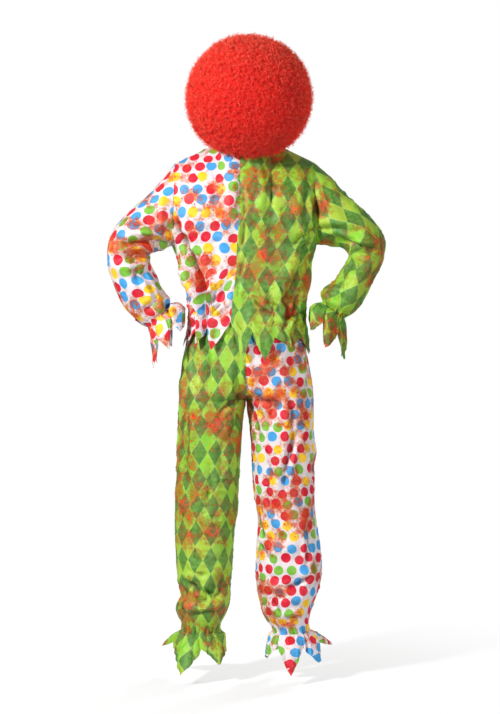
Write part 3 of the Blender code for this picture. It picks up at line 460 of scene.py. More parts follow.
SLEEVE_FOLDS = (
    (1, 245, -270, 335, -275, 10, -8), (1, 225, -225, 320, -245, 14, 5), (1, 276, -315, 360, -320, 11, -7),
    (1, 268, -350, 330, -372, 12, -5), (1, 345, -320, 300, -430, 14, 5), (1, 245, -425, 285, -470, 9, -6),
    (1, 290, -190, 340, -240, 14, 4), (1, -238, -264, -300, -282, 10, -8), (1, -290, -285, -372, -296, 11, -7),
    (1, -225, -215, -330, -240, 15, 5), (1, -288, -330, -345, -345, 12, -6), (1, -240, -100, -330, -200, 14, 4),
    (1, -345, -330, -290, -440, 14, 5), (1, -225, -420, -275, -440, 9, -6), (-1, 245, -265, 340, -280, 12, -7),
    (-1, 276, -318, 362, -310, 12, -7), (-1, 340, -330, 285, -440, 15, 5), (-1, -245, -264, -335, -275, 12, -7),
    (-1, -296, -316, -372, -310, 12, -7), (-1, -340, -330, -290, -430, 15, 5),
)  # fmt: skip
TROUSER_FOLDS = (
    (1, 168, -600, 166, -1000, 12, -6), (1, 148, -620, 146, -900, 16, 3), (1, 110, -700, 60, -760, 15, -5),
    (1, -100, -700, -55, -770, 15, -5), (1, -142, -780, -140, -900, 12, -5),
    (1, 120, -1215, 185, -1275, 13, -6), (1, 60, -1230, 120, -1290, 13, -6), (1, 75, -1300, 165, -1315, 10, 5),
    (1, -80, -1215, -190, -1250, 14, -6), (1, -60, -1290, -150, -1260, 13, -5),
    (1, -70, -1150, -150, -1120, 16, 4), (1, -160, -1320, -90, -1330, 10, 4), (-1, 160, -640, 60, -700, 16, -6),
    (-1, -160, -640, -60, -700, 16, -6), (-1, 150, -1000, 60, -1040, 18, -5),
    (-1, -150, -1010, -60, -1040, 18, -5), (-1, 130, -1220, 70, -1280, 14, -6),
    (-1, -130, -1220, -80, -1280, 14, -6), (-1, 140, -600, 142, -950, 16, 4),
    (-1, -142, -600, -140, -950, 16, 4),
)  # fmt: skip


def unit(vectors):
    """Each vector divided by its length."""
    return vectors / np.linalg.norm(vectors, axis=-1, keepdims=True)


def through(rows, at):
    """Columns of a table as smooth curves of its first: cubics whose slopes come from the neighbouring rows."""
    rows = np.asarray(rows, float)
    order = np.argsort(rows[:, 0])
    key, values = rows[order, 0], rows[order, 1:]
    slope = np.gradient(values, key, axis=0)
    at = np.clip(np.asarray(at, float), key[0], key[-1])
    low = np.clip(np.searchsorted(key, at) - 1, 0, len(key) - 2)
    span = (key[low + 1] - key[low])[..., None]
    t = (at - key[low])[..., None] / span
    start, end = values[low], values[low + 1]
    return (
        (2 * t**3 - 3 * t**2 + 1) * start
        + (t**3 - 2 * t**2 + t) * span * slope[low]
        + (3 * t**2 - 2 * t**3) * end
        + (t**3 - t**2) * span * slope[low + 1]
    )


def route(points, fractions):
    """Places at fractions of the chord length along a smooth curve through a list of points."""
    points = np.asarray(points, float) * MM
    steps = np.linalg.norm(np.diff(points, axis=0), axis=1)
    along = np.concatenate(([0], np.cumsum(steps))) / steps.sum()
    return through(np.column_stack((along, points)), fractions)


def straight(rows, at):
    """The second column of a table, in metres, with straight lines between its rows."""
    rows = np.asarray(rows, float)
    return np.interp(at, rows[:, 0], rows[:, 1] * MM)


def patch(first, last, start, end, u, v, fade=1.0):
    """A Coons patch: the two row edges mixed along v, plus how far each column edge strays from its chord.

    The straying fades across the patch as a power of the distance from that edge.
    """
    u, v = u[None, :, None], v[:, None, None]
    start_stray = start[:, None] - (1 - v) * first[0] - v * last[0]
    end_stray = end[:, None] - (1 - v) * first[-1] - v * last[-1]
    return (1 - v) * first[None] + v * last[None] + (1 - u) ** fade * start_stray + u**fade * end_stray


def torso_point(angle, z):
    """The body tube: rounded rings with half sizes from TORSO, angle 0 at the back and 90 degrees at left."""
    size = through(TORSO, z / MM) * MM
    side, face = np.sin(angle), np.cos(angle)
    across = np.where(side >= 0, size[..., 0], -size[..., 1])
    deep = np.where(face >= 0, size[..., 2], -size[..., 3])
    reach = (np.abs(side / across) ** SQUARENESS + np.abs(face / deep) ** SQUARENESS) ** (-1 / SQUARENESS)
    return np.stack((reach * side, reach * face, z + 0 * angle), axis=-1)


def torso_angle(face, side, u, z):
    """Angle at a fraction from the middle seam to the side seam; the back seam wanders left on its way down."""
    if face == "front":
        return np.pi * (1 - u / 2) * side
    size = through(TORSO, z / MM)
    seam = np.arctan2(size[..., 4], size[..., 2])
    return seam + (side * np.pi / 2 - seam) * u


def armhole_steps():
    """Fractions from underarm to shoulder, wider apart at both ends, where the armhole runs level."""
    even = np.linspace(0, 1, ARMHOLE_COLUMNS + 1)
    return even + ARMHOLE_EASE * np.sin(2 * np.pi * even)


def sleeve_ring(side, row, turn):
    """A sleeve's section: an ellipse from inner to outer edge, turn 0 at the seam below, 90 degrees behind."""
    rows = np.column_stack((np.arange(len(SLEEVE[side])), SLEEVE[side]))
    outer_x, outer_z, inner_x, inner_z, y, deep = np.moveaxis(through(rows, row) * MM, -1, 0)
    swing = (1 - np.cos(turn)) / 2
    x = inner_x + (outer_x - inner_x) * swing
    z = inner_z + (outer_z - inner_z) * swing
    return np.stack((side * x, y + deep * np.sin(turn), z), axis=-1)


def neck_edge(face, side, t):
    """A quarter of the neckline: from the middle seam round to the shoulder seam, lower at the front."""
    middle = np.array(BACK_MIDDLE[-1] if face == "back" else FRONT_MIDDLE[-1]) * MM
    corner = np.array(NECK_SHOULDER) * MM * (side, 1, 1)
    lean = (np.cos(t * np.pi / 2))[:, None]
    swing = (np.sin(t * np.pi / 2))[:, None]
    level = corner * (1, 0, 0) * swing + middle * (1, 0, 0) * (1 - swing)
    return level + (corner + (middle - corner) * lean) * (0, 1, 1)


def hanging(edge, away, reach, lead, fall):
    """Frill below an elastic: each column leaves along lead for a third of its reach, then bends into its fall."""
    reach = reach[None, :, None]
    t = FRILL_ROWS[:, None, None]
    turn_at = edge + FRILL_LEAD * reach[0] * unit(lead)
    end = turn_at + FRILL_FALL * reach[0] * unit(fall)
    cup = FRILL_CUP * reach * np.sin(np.pi * t) * away
    return (1 - t) ** 2 * edge + 2 * t * (1 - t) * turn_at + t**2 * end + cup


def leg_ring(side, z, turn):
    """A leg's section: an ellipse, turn 0 at the inseam, 90 degrees behind and 180 at the side seam."""
    inner, outer, back, front = np.moveaxis(through(LEG[side], z / MM) * MM, -1, 0)
    behind = np.sin(turn)
    y = np.where(behind >= 0, back, -front) * behind
    swing = (1 - np.cos(turn)) / 2
    return np.stack((side * (inner + (outer - inner) * swing), y, z + 0 * turn), axis=-1)


def with_marks(table, count):
    """Even fractions, the nearest ones moved onto the table's own, so that points and valleys stay sharp."""
    even = np.linspace(0, 1, count)
    marks = np.array(table)[:, 0]
    even[np.abs(even[:, None] - marks).argmin(axis=0)] = marks
    return even


def torso_panel(face, side):
    """One quarter of the top: a patch from underarm to neck, then rings down to the pointed hem."""
    columns = with_marks(HEM[face, side], TORSO_COLUMNS)
    upper_rows = armhole_steps()
    armhole = sleeve_ring(side, 0 * upper_rows, upper_rows * np.pi * (1 if face == "back" else -1))
    middle = route(BACK_MIDDLE if face == "back" else FRONT_MIDDLE, upper_rows)
    chest_z = np.full(len(columns), UNDERARM_Z)
    chest = torso_point(torso_angle(face, side, columns, chest_z), chest_z)
    neck = neck_edge(face, side, np.clip(columns / NECK_SHARE, 0, 1))
    past = np.clip((columns - NECK_SHARE) / (1 - NECK_SHARE), 0, 1)[:, None]
    shoulder = neck + (armhole[-1] - neck) * past
    upper = patch(chest, shoulder, middle, armhole, columns, upper_rows)
    z = UNDERARM_Z + (straight(HEM[face, side], columns) - UNDERARM_Z) * np.linspace(0, 1, SKIRT_ROWS)[:, None]
    lower = torso_point(torso_angle(face, side, columns[None], z), z)
    return np.concatenate((lower[::-1], upper[1:]))[::-1]


def pleats(turn, few, many, shift):
    """Uneven pleats round an elastic: two sine waves whose phases wander."""
    first = np.sin(few * turn + PLEAT_WANDER[0] * np.sin(3 * turn + shift))
    second = np.sin(many * turn + PLEAT_WANDER[1] * np.sin(2 * turn - shift))
    return PLEAT_SHARES[0] * first + PLEAT_SHARES[1] * second


def tip_curl(reach, along, seed):
    """How far a frill's leaves lean in or out: it grows with the square of the way down and differs by leaf."""
    lean = np.sin(1.7 * along + seed) + 0.6 * np.sin(3.1 * along + 2 * seed)
    return TIP_CURL * lean * (FRILL_ROWS[:, None] * reach / reach.max()) ** 2


def gathered(tube, from_elastic, away, frill, pleating, reach, band, leaning):
    """A tube and its frill with pleats on both sides of their elastic: they fade with the distance from its edges.

    Down the frill the pleats turn into a wave that grows with the way down, and its leaves lean in or out.
    """
    wave = pleating[None, :, None] * away
    near = np.exp(-np.maximum(from_elastic - band / 2, 0) / PLEAT_REACH)[:, None, None]
    past = np.maximum(FRILL_ROWS[:, None] * reach - band / 2, 0)
    fading = np.exp(-(past / FRILL_PLEAT_REACH))[..., None]
    frill = frill + (PLEAT_DEPTH * fading + FRILL_WAVE * FRILL_ROWS[:, None, None] ** FRILL_WAVE_GROWTH) * wave
    return tube + PLEAT_DEPTH * near * wave, frill + leaning[..., None] * away


def sleeve(side):
    """A sleeve with its wrist frill, as a tube of columns that starts at the seam below the arm."""
    half = armhole_steps() * np.pi
    turns = np.concatenate((half[:-1], np.pi + half[:-1]))
    rows = np.linspace(0, len(SLEEVE[side]) - 1, (len(SLEEVE[side]) - 1) * SLEEVE_ROWS_EACH + 1)
    tube = sleeve_ring(side, rows[:, None], turns[None])
    middle = tube[-1].mean(axis=0)
    away = unit(tube[-1] - middle)
    from_wrist = np.linalg.norm(tube.mean(axis=1) - middle, axis=-1)
    forearm = unit(middle - tube[-SLEEVE_ROWS_EACH].mean(axis=0))
    inner = ((1 + np.cos(turns)) / 2)[:, None]
    mirror = np.array((side, 1, 1))
    lead = forearm * (1 - inner) + HAND_WAY * mirror * inner + WRIST_FLARE * away
    fall = DOWN + WRIST_SPREAD * away + inner * HAND_FALL * mirror
    reach = straight(WRIST_FRILL, turns / (2 * np.pi))
    frill = hanging(tube[-1], away, reach, lead, fall)
    pleating, leaning = pleats(turns, *WRIST_PLEATS, side), tip_curl(reach, turns * 3, side)
    return np.concatenate(gathered(tube, from_wrist, away, frill, pleating, reach, 0, leaning)), len(rows)


def waist_ring(face, side, columns, band_tree):
    """The trousers' upper edge, where rays towards the axis meet the outside of the waistband."""
    angle = side * columns * np.pi / 2
    angle = angle if face == "back" else np.pi - angle
    height = WAIST_Z + WAIST_LOOK
    points = []
    for way in np.stack((np.sin(angle), np.cos(angle), 0 * angle), axis=-1):
        hit = band_tree.ray_cast(Vector(way * BEYOND + (0, 0, height)), Vector(-way), BEYOND)[0]
        points.append((hit.x, hit.y, WAIST_Z))
    return np.array(points)


def trouser_panel(face, side, band_tree):
    """Half a trouser leg: a patch over the hip and round the crotch, rings down the leg, then its ankle frill."""
    columns = with_marks(ANKLE_FRILL[face, side], LEG_COLUMNS)
    hip_rows = np.linspace(0, 1, HIP_ROWS)
    leg_heights = np.linspace(HIP_END_Z, ANKLE_Z, LEG_ROWS)
    turn = columns * np.pi * (1 if face == "back" else -1)
    waist = waist_ring(face, side, columns, band_tree)
    thigh = leg_ring(side, np.full(len(columns), HIP_END_Z), turn)
    heights = WAIST_Z + (HIP_END_Z - WAIST_Z) * hip_rows
    side_x = through(HIP_SIDE[side], heights / MM)[:, 0] * MM
    side_seam = np.stack((side * side_x, 0 * heights, heights), axis=-1)
    half = 0 if face == "back" else 1
    depth = through(HIP_MIDDLE, np.maximum(heights, CROTCH_Z) / MM)[:, half] * MM
    below = np.clip((CROTCH_Z - heights) / (CROTCH_Z - HIP_END_Z), 0, 1)
    middle_x = side * LEG[side][0][1] * MM * below
    middle_seam = np.stack((middle_x, np.where(below > 0, 0, depth), heights), axis=-1)
    middle_seam[0], side_seam[0] = waist[0], waist[-1]
    middle_seam[-1], side_seam[-1] = thigh[0], thigh[-1]
    hip = patch(waist, thigh, middle_seam, side_seam, columns, hip_rows, SEAT_FADE)
    bell = np.exp(-(((heights - SEAT_FILL_Z) / SEAT_FILL_SPREAD) ** 2))
    fill = SEAT_FILL * bell * np.sin(np.pi * hip_rows)
    hip[..., 1] += fill[:, None] * np.sin(np.pi * columns) * np.sign(hip[..., 1])
    leg = leg_ring(side, leg_heights[:, None], turn[None])
    middle = np.array((leg[-1, :, 0].mean(), 0, ANKLE_Z))
    away = unit((leg[-1] - middle) * (1, 1, 0) + 1e-9)
    foot = unit(FOOT_WAY * (side, 1, 1))
    over_foot = np.clip(away @ foot, 0, 1)[:, None] ** FOOT_NARROWING
    fall = (DOWN + ANKLE_SPREAD * away) * (1 - over_foot) + (foot + FOOT_SLOPE * DOWN) * over_foot
    lead = DOWN + (ANKLE_FLARE + FOOT_FLARE * over_foot) * away
    reach = straight(ANKLE_FRILL[face, side], columns)
    frill = hanging(leg[-1], away, reach, lead, fall)
    pleating, leaning = pleats(turn, *ANKLE_PLEATS, side), tip_curl(reach, turn * 2, side)
    leg, frill = gathered(leg, leg_heights - ANKLE_Z, away, frill, pleating, reach, ANKLE_BAND, leaning)
    return np.concatenate((hip, leg[1:], frill)), len(hip) + len(leg) - 1


def lengths_down(line):
    """Length along a line of points, from its first point to each."""
    steps = np.linalg.norm(np.diff(line, axis=0), axis=-1)
    return np.concatenate((np.zeros((1, *steps.shape[1:])), np.cumsum(steps, axis=0)))


def laid_flat(points, flat):
    """A panel's flat cut with the least stretch: a guess settled on a coarse grid, then spread between its lines.

    Every side and diagonal of the coarse grid wants its own length: each round turns those lengths along the lines
    that they have now, and solves for the places that fit them best. Too short counts more than too long,
    because cloth folds but doesn't stretch.
    """
    rows, columns = (np.round(np.linspace(0, count - 1, FLAT_LINES)).astype(int) for count in points.shape[:2])
    coarse, guess = points[rows][:, columns], flat[rows][:, columns].reshape(-1, 2)
    place = guess
    number = np.arange(FLAT_LINES**2).reshape(FLAT_LINES, FLAT_LINES)
    pairs = (number[:-1], number[1:]), (number[:, :-1], number[:, 1:])
    pairs += (number[:-1, :-1], number[1:, 1:]), (number[:-1, 1:], number[1:, :-1])
    one, other = (np.concatenate([pair[end].ravel() for pair in pairs]) for end in (0, 1))
    coarse = coarse.reshape(-1, 3)
    length = np.linalg.norm(coarse[one] - coarse[other], axis=1)
    for _ in range(FLAT_ROUNDS):
        line = place[one] - place[other]
        now = np.linalg.norm(line, axis=1) + 1e-9
        pull = np.where(now < length, 1.0, FLAT_SLACK)
        matrix = np.eye(len(place)) * FLAT_ANCHOR
        for ends, sign in (((one, one), 1), ((other, other), 1), ((one, other), -1), ((other, one), -1)):
            np.add.at(matrix, ends, sign * pull)
        wanted = line * (pull * length / now)[:, None]
        result = place * FLAT_ANCHOR
        np.add.at(result, one, wanted)
        np.add.at(result, other, -wanted)
        place = np.linalg.solve(matrix, result)
    shift = (place - guess).reshape(FLAT_LINES, FLAT_LINES, 2)
    down, along = np.arange(points.shape[0]), np.arange(points.shape[1])
    shift = np.array([[np.interp(down, rows, shift[:, k, axis]) for k in range(FLAT_LINES)] for axis in (0, 1)])
    shift = np.array([[np.interp(along, columns, shift[axis, :, k]) for k in down] for axis in (0, 1)])
    return flat + np.moveaxis(shift, 0, -1)


def cloth_map(grid, folded, body_rows, closed=False, level_below=-np.inf):
    """The flat cut of a panel: across, the length along each folded row from its centre; down, that of a guide.

    The guide is the centre column, read by height, or on a bent tube the mean distance between its rings. Below
    the elastic each column keeps its place across and goes on by its own length. Rows that dip with a pointed hem
    are measured level, below a given height. The length that folds take up is spread over some rows.
    """
    centre = grid.shape[1] // 2
    body, worn = grid[:body_rows], folded[:body_rows]
    if closed:
        body, worn = (np.concatenate((rows, rows[:, :1]), axis=1) for rows in (body, worn))
    highest = body[..., 2:].max(axis=1, keepdims=True)
    level = np.where(highest < level_below, (1, 1, 0), 1)
    across, folds = (lengths_down(np.moveaxis(rows * level, 1, 0)).T for rows in (body, worn))
    folds = folds - across
    for _ in range(FOLD_SPREAD):
        padded = np.pad(folds, ((1, 1), (0, 0)), mode="edge")
        folds = (padded[:-2] + 2 * folds + padded[2:]) / 4
    across = across + folds
    across = across - across[:, centre : centre + 1]
    if closed:
        half = (body.shape[1] - 1) // 2
        spans = unit(body[:, 0] - body[:, half])
        ahead = unit(np.cross(spans, body[:, half // 2] - body[:, half + half // 2]))
        steps = np.abs(((body[1:] - body[:-1]) * ahead[:-1, None]).sum(axis=-1)).mean(axis=1)
        down = np.repeat(np.append(0, np.cumsum(steps))[:, None], body.shape[1], axis=1)
    else:
        guide = body[:, centre]
        order = np.argsort(guide[:, 2])
        down = np.interp(body[..., 2], guide[order, 2], lengths_down(guide)[order])
    flat = np.stack((across, -down), axis=-1)
    if closed:
        flat = laid_flat(body, flat)
    if body_rows < len(grid):
        frill = grid[body_rows - 1 :]
        if closed:
            frill = np.concatenate((frill, frill[:, :1]), axis=1)
        way = unit(flat[-1] - flat[-FRILL_GUIDE]).mean(axis=0)
        flat = np.concatenate((flat, flat[-1] + unit(way) * lengths_down(frill)[1:, :, None]))
    return flat


def grid_faces(rows, columns, closed):
    """Corners of a grid's faces as points' numbers, and as places in its flat map.

    A closed grid's map ends with a column more, so its places are counted in wider rows.
    """
    last = columns if closed else columns - 1
    row, column = np.meshgrid(np.arange(rows - 1), np.arange(last), indexing="ij")
    row, column = row.ravel(), column.ravel()
    result = []
    for wide, following in ((columns, (column + 1) % columns), (columns + 1 if closed else columns, column + 1)):
        above, below = row * wide, (row + 1) * wide
        result.append(np.column_stack((above + column, above + following, below + following, below + column)))
    return result


def shared_normals(grids, closed):
    """Outward directions of several grids together, so that panels lean the same way where they meet."""
    points = np.concatenate([grid.reshape(-1, 3) for grid in grids.values()])
    faces, offset = [], 0
    for name, grid in grids.items():
        faces.append(grid_faces(*grid.shape[:2], name in closed)[0] + offset)
        offset += grid.shape[0] * grid.shape[1]
    faces = np.concatenate(faces)
    corners = points[faces]
    face_normals = np.cross(corners[:, 2] - corners[:, 0], corners[:, 3] - corners[:, 1])
    _, same = np.unique(np.round(points, 6), axis=0, return_inverse=True)
    same = same.reshape(-1)
    total = np.zeros((same.max() + 1, 3))
    for corner in range(4):
        np.add.at(total, same[faces[:, corner]], face_normals)
    normals = unit(total + 1e-12)[same]
    result, offset = {}, 0
    for name, grid in grids.items():
        count = grid.shape[0] * grid.shape[1]
        result[name] = normals[offset : offset + count].reshape(grid.shape)
        offset += count
    return result


def facing_out(grid, core):
    """The grid, its columns turned round if its faces don't look away from the core that it surrounds."""
    normals = shared_normals({"grid": grid}, ())["grid"]
    return grid if (normals * (grid - core)).sum() > 0 else grid[:, ::-1]


def fan_folds(fans):
    """Folds that spread from one place, with uneven lengths, depths and spacing, as pulls in cloth have."""
    rng = np.random.default_rng(41)
    folds = []
    for facing, x, z, near, far, first, last, count, width, depth in fans:
        for angle in np.linspace(first, last, count) + rng.normal(0, (last - first) / (5 * count), count):
            way = np.array((np.cos(np.radians(angle)), np.sin(np.radians(angle))))
            start = np.array((x, z)) + way * near * rng.uniform(*FAN_NEAR)
            end = np.array((x, z)) + way * far * rng.uniform(*FAN_FAR)
            folds.append((facing, *start, *end, width * rng.uniform(*FAN_WIDTH), depth * rng.uniform(*FAN_DEPTH)))
    return tuple(folds)


def crease(points, normals, folds):
    """How far a table's folds move each point outwards: troughs with a lower ridge on either side, or the reverse.

    The profile across a fold is a bell less a share of two narrower bells at its flanks; the line bows a little.
    """
    move = np.zeros(points.shape[:-1])
    for number, (facing, x0, z0, x1, z1, width, depth) in enumerate(folds):
        start, line = np.array((x0, z0)) * MM, np.array((x1 - x0, z1 - z0)) * MM
        length = np.hypot(*line)
        flat = points[..., (0, 2)] - start
        t = flat @ line / length**2
        bow = FOLD_BOW * length * np.sin(np.pi * np.clip(t, 0, 1)) * (-1) ** number
        across = (flat[..., 0] * line[1] - flat[..., 1] * line[0]) / length + bow
        beyond = np.maximum(np.abs(t - 0.5) - 0.5, 0) * length
        away = np.hypot(across, beyond) / (FOLD_WIDTH * width * MM)
        taper = 1 - FOLD_END_FADE * (2 * np.clip(t, 0, 1) - 1) ** 2
        shown = np.clip(normals[..., 1] * facing * FOLD_FACING, 0, 1)
        flank = np.exp(-(((away - FOLD_FLANK_PLACE) / FOLD_FLANK_WIDTH) ** 2))
        profile = np.exp(-(away**2)) - FOLD_FLANK * flank
        move += FOLD_DEPTH * depth * MM * taper * shown * profile
    return move


def waves(points, length, stretch, seed):
    """A smooth random field about nought: crossed sine waves of about one length, longer along stretched axes."""
    rng = np.random.default_rng(seed)
    ways = unit(rng.normal(size=(WAVE_COUNT, 3))) / np.array(stretch) * rng.uniform(*WAVE_LENGTHS, (WAVE_COUNT, 1))
    return np.sin(2 * np.pi * (points @ ways.T) / length + rng.uniform(0, 2 * np.pi, WAVE_COUNT)).sum(-1) / 2


def ruckles(points, length, stretch, depth, seed):
    """Small soft ridges where a wave field passes nought, in patches that a second, wider field picks."""
    ridges = np.exp(-((waves(points, length, stretch, seed) / RUCKLE_WIDTH) ** 2))
    where = waves(points, length * RUCKLE_PATCH, (1, 1, 1), seed + 1)
    return depth * ridges * np.clip(where * RUCKLE_PATCH_SLOPE + RUCKLE_PATCH_SHARE, 0, 1)


def worked(grids, folds, ruckle_rows, closed=()):
    """The grids of one garment with its folds and ruckles worked in, along shared outward directions."""
    normals = shared_normals(grids, closed)
    result = {}
    for name, grid in grids.items():
        move = crease(grid, normals[name], folds)
        for length, stretch, depth, seed in ruckle_rows:
            move += ruckles(grid, length, stretch, depth, seed)
        result[name] = grid + normals[name] * move[..., None]
    return result


def seam_dips(grid, closed):
    """A shallow dip with tiny puckers along a panel's sewn side edges: a bell of the distance from each."""
    if closed:
        return 0 * grid[..., 0]
    across = lengths_down(np.moveaxis(grid, 1, 0)).T
    down = lengths_down(grid)
    total = 0
    for distance in (across, across[:, -1:] - across):
        pucker = 0.5 + 0.5 * np.sin(2 * np.pi * down / SEAM_PUCKER + 2 * np.sin(down / SEAM_PUCKER_WANDER))
        dip = SEAM_DIP * np.exp(-((distance / SEAM_DIP_REACH) ** 2))
        tuck = SEAM_DIP * SEAM_PUCKER_SHARE * pucker * np.exp(-((distance / SEAM_PUCKER_REACH) ** 2))
        total = total - dip - tuck
    return total


def draped(grids, tree):
    """The top's skirt, moved out from the body's axis wherever what it covers would come through it."""
    result = {}
    for name, grid in grids.items():
        if not name.startswith("top_"):
            result[name] = grid
            continue
        push = np.zeros(grid.shape[:2])
        ways = unit(grid * (1, 1, 0))
        for spot in np.argwhere(grid[..., 2] < DRAPED_BELOW):
            spot = tuple(spot)
            start = Vector(grid[spot] * (0, 0, 1) + ways[spot] * BEYOND)
            hit = tree.ray_cast(start, Vector(-ways[spot]), BEYOND)[3]
            if hit is not None:
                push[spot] = max(BEYOND - hit + CLOTH + DRAPE_CLEARANCE - np.linalg.norm(grid[spot][:2]), 0)
        for step in range(DRAPE_SPREAD + DRAPE_SOFTENING):
            padded = np.pad(push, 1, mode="edge")
            high, wide = push.shape
            near = [padded[i : i + high, j : j + wide] for i in (0, 1, 2) for j in (0, 1, 2)]
            push = np.max(near, axis=0) if step < DRAPE_SPREAD else np.mean(near, axis=0)
        result[name] = grid + ways * push[..., None]
    return result


def placed(name, data, place=(0, 0, 0), turn=(0, 0, 0)):
    """A new object in the scene; a piece's object stays at the origin, unturned."""
    made = bpy.data.objects.new(name, data)
    made.location, made.rotation_euler = place, turn
    bpy.context.scene.collection.objects.link(made)
    return made


def add_mesh(name, points, faces, finish, slot, replaced=(), corner_map=None, normals=None, **values):
    """A smooth mesh on the root body, with named values at its points; cloth has a flat map and sharp rims."""
    mesh = bpy.data.meshes.new(name)
    mesh.from_pydata(points.tolist(), [], faces)
    if corner_map is not None:
        layer = mesh.uv_layers.new(name="cloth")
        layer.data.foreach_set("uv", corner_map.astype(np.float32).ravel())
    for key, value in values.items():
        mesh.attributes.new(key, "FLOAT", "POINT").data.foreach_set("value", value.astype(np.float32).ravel())
    mesh.shade_smooth()
    if corner_map is not None:
        mesh.set_sharp_from_angle(angle=SHARP_ANGLE)
    if normals is not None:
        mesh.normals_split_custom_set_from_vertices(normals.tolist())
    mesh.materials.append(finish)
    made = placed(name, mesh)
    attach(made, "root")
    if replaced:
        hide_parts(*replaced)
    return made


def wall_mesh(name, outer, inner, flat, closed, finish, hollow):
    """A closed wall of cloth between two grids, its rims included; wrong_side is 0 outside and 1 inside."""
    rows, columns = outer.shape[:2]
    count = rows * columns
    points = np.concatenate((outer.reshape(-1, 3), inner.reshape(-1, 3)))
    corners, places = grid_faces(rows, columns, closed)
    index = np.arange(count).reshape(rows, columns)
    place = np.arange(flat.shape[0] * flat.shape[1]).reshape(flat.shape[:2])
    if closed:
        index = np.concatenate((index, index[:, :1]), axis=1)
        edges = [(index[0], place[0]), (index[-1][::-1], place[-1][::-1])]
    else:
        edges = [
            (index[0], place[0]),
            (index[-1][::-1], place[-1][::-1]),
            (index[::-1, 0], place[::-1, 0]),
            (index[:, -1], place[:, -1]),
        ]
    # both walls split their faces along the same diagonal, so neither comes through the other
    inward = (0, 3, 2, 1)
    faces, maps = [corners, corners[:, inward] + count], [places, places[:, inward]]
    for line, spots in edges:
        faces.append(np.column_stack((line[1:], line[:-1], line[:-1] + count, line[1:] + count)))
        maps.append(np.column_stack((spots[1:], spots[:-1], spots[:-1], spots[1:])))
    values = {
        "wrong_side": np.repeat((0.0, 1.0), count),
        "hollow": np.concatenate((hollow.ravel(), -hollow.ravel())),
    }
    corner_map = flat.reshape(-1, 2)[np.concatenate(maps).ravel()]
    nodes = SOLIDS.get(name, (name,))
    faces = np.concatenate(faces).tolist()
    return add_mesh(name + "_cloth", points, faces, finish, SLOTS[name], nodes, corner_map, **values)


def hollows(grid, normals, closed):
    """How far each point lies under the cloth around it, from -1 on a ridge to 1 in a deep crease."""
    around = grid
    for _ in range(HOLLOW_REACH):
        sides = np.pad(around, ((1, 1), (0, 0), (0, 0)), mode="edge")
        sides = np.pad(sides, ((0, 0), (1, 1), (0, 0)), mode="wrap" if closed else "edge")
        around = (sides[:-2, 1:-1] + sides[2:, 1:-1] + sides[1:-1, :-2] + sides[1:-1, 2:] + 2 * around) / 6
    return np.clip(((around - grid) * normals).sum(-1) / HOLLOW_DEPTH, -1, 1)


def sew(grids, maps, finishes, closed=()):
    """Each grid of a garment as a wall of cloth in its solid's place; the size and area of its cut are worked out
    but not used.
    """
    normals = shared_normals(grids, closed)
    grids = {
        name: grid + seam_dips(grid, name in closed)[..., None] * normals[name] for name, grid in grids.items()
    }
    normals = shared_normals(grids, closed)
    for name, grid in grids.items():
        flat = maps[name]
        hollow = hollows(grid, normals[name], name in closed)
        inner = grid - CLOTH * normals[name]
        made = wall_mesh(name, grid, inner, flat, name in closed, finishes[name], hollow)
        size = np.ptp(flat.reshape(-1, 2), axis=0)
        corners = flat[:-1, :-1], flat[:-1, 1:], flat[1:, 1:], flat[1:, :-1]
        one, other = corners[2] - corners[0], corners[3] - corners[1]
        area = np.abs(one[..., 0] * other[..., 1] - one[..., 1] * other[..., 0]).sum() / 2
        area = min(area, size[0] * size[1])
    return grids


def wig_directions(polar, azimuth):
    """Unit directions about the line from the head's middle to the middle of the face opening."""
    polar, azimuth = polar[..., None], azimuth[..., None]
    return np.cos(polar) * FACE_AHEAD + np.sin(polar) * (np.cos(azimuth) * FACE_UP + np.sin(azimuth) * FACE_SIDE)


def turns_round(count):
    """Even angles all the way round the face opening, as one row."""
    return np.linspace(0, 2 * np.pi, count, endpoint=False)[None]


def face_edge(azimuth):
    """Angle from the face opening's middle line to its edge: an ellipse in those angles."""
    return ((np.cos(azimuth) / FACE_HALF_HEIGHT) ** 2 + (np.sin(azimuth) / FACE_HALF_WIDTH) ** 2) ** -0.5


def reach_to(middle, half_size, directions):
    """Distance from the head's middle to an ellipsoid, along each direction."""
    ray = directions / half_size
    start = (HEAD_MIDDLE - middle) / half_size
    a, b, c = (ray**2).sum(-1), (ray * start).sum(-1), (start**2).sum() - 1
    return (-b + np.sqrt(b * b - a * c)) / a


def ball_reach(directions, middle, tree):
    """How far the ball goes along each direction: to its solid's skin or to the wig's ellipsoid, with a margin."""
    reach = reach_to(WIG_MIDDLE, WIG_HALF_SIZE, directions)
    flat = reach.reshape(-1)
    for spot, way in enumerate(directions.reshape(-1, 3)):
        hit = tree.ray_cast(Vector(middle + way * BEYOND), Vector(-way), BEYOND)[3]
        if hit is not None:
            flat[spot] = min(flat[spot], BEYOND - hit) + BALL_MARGIN
    return flat.reshape(reach.shape)


def ball_grid(middle, tree):
    """Directions from the fringe to the back of the wig, and how far the ball's skin goes along each.

    Rays slip past the lip of the face opening, so the rows there take the first sure one, evened out round it.
    """
    azimuth = turns_round(BALL_COLUMNS)
    fringe = face_edge(azimuth) - FRINGE_LEAN
    polar = fringe + (np.pi - fringe) * np.linspace(0, 1, BALL_ROWS + 2)[1:-1, None]
    ways = wig_directions(polar, azimuth + 0 * polar)
    reach = ball_reach(ways, middle, tree)
    reach[:UNSURE_ROWS] = reach[UNSURE_ROWS]
    for _ in range(EVENING_ROUNDS):
        near = reach[:EVENED_ROWS]
        reach[:EVENED_ROWS] = (np.roll(near, 1, axis=1) + 2 * near + np.roll(near, -1, axis=1)) / 4
    return ways, reach


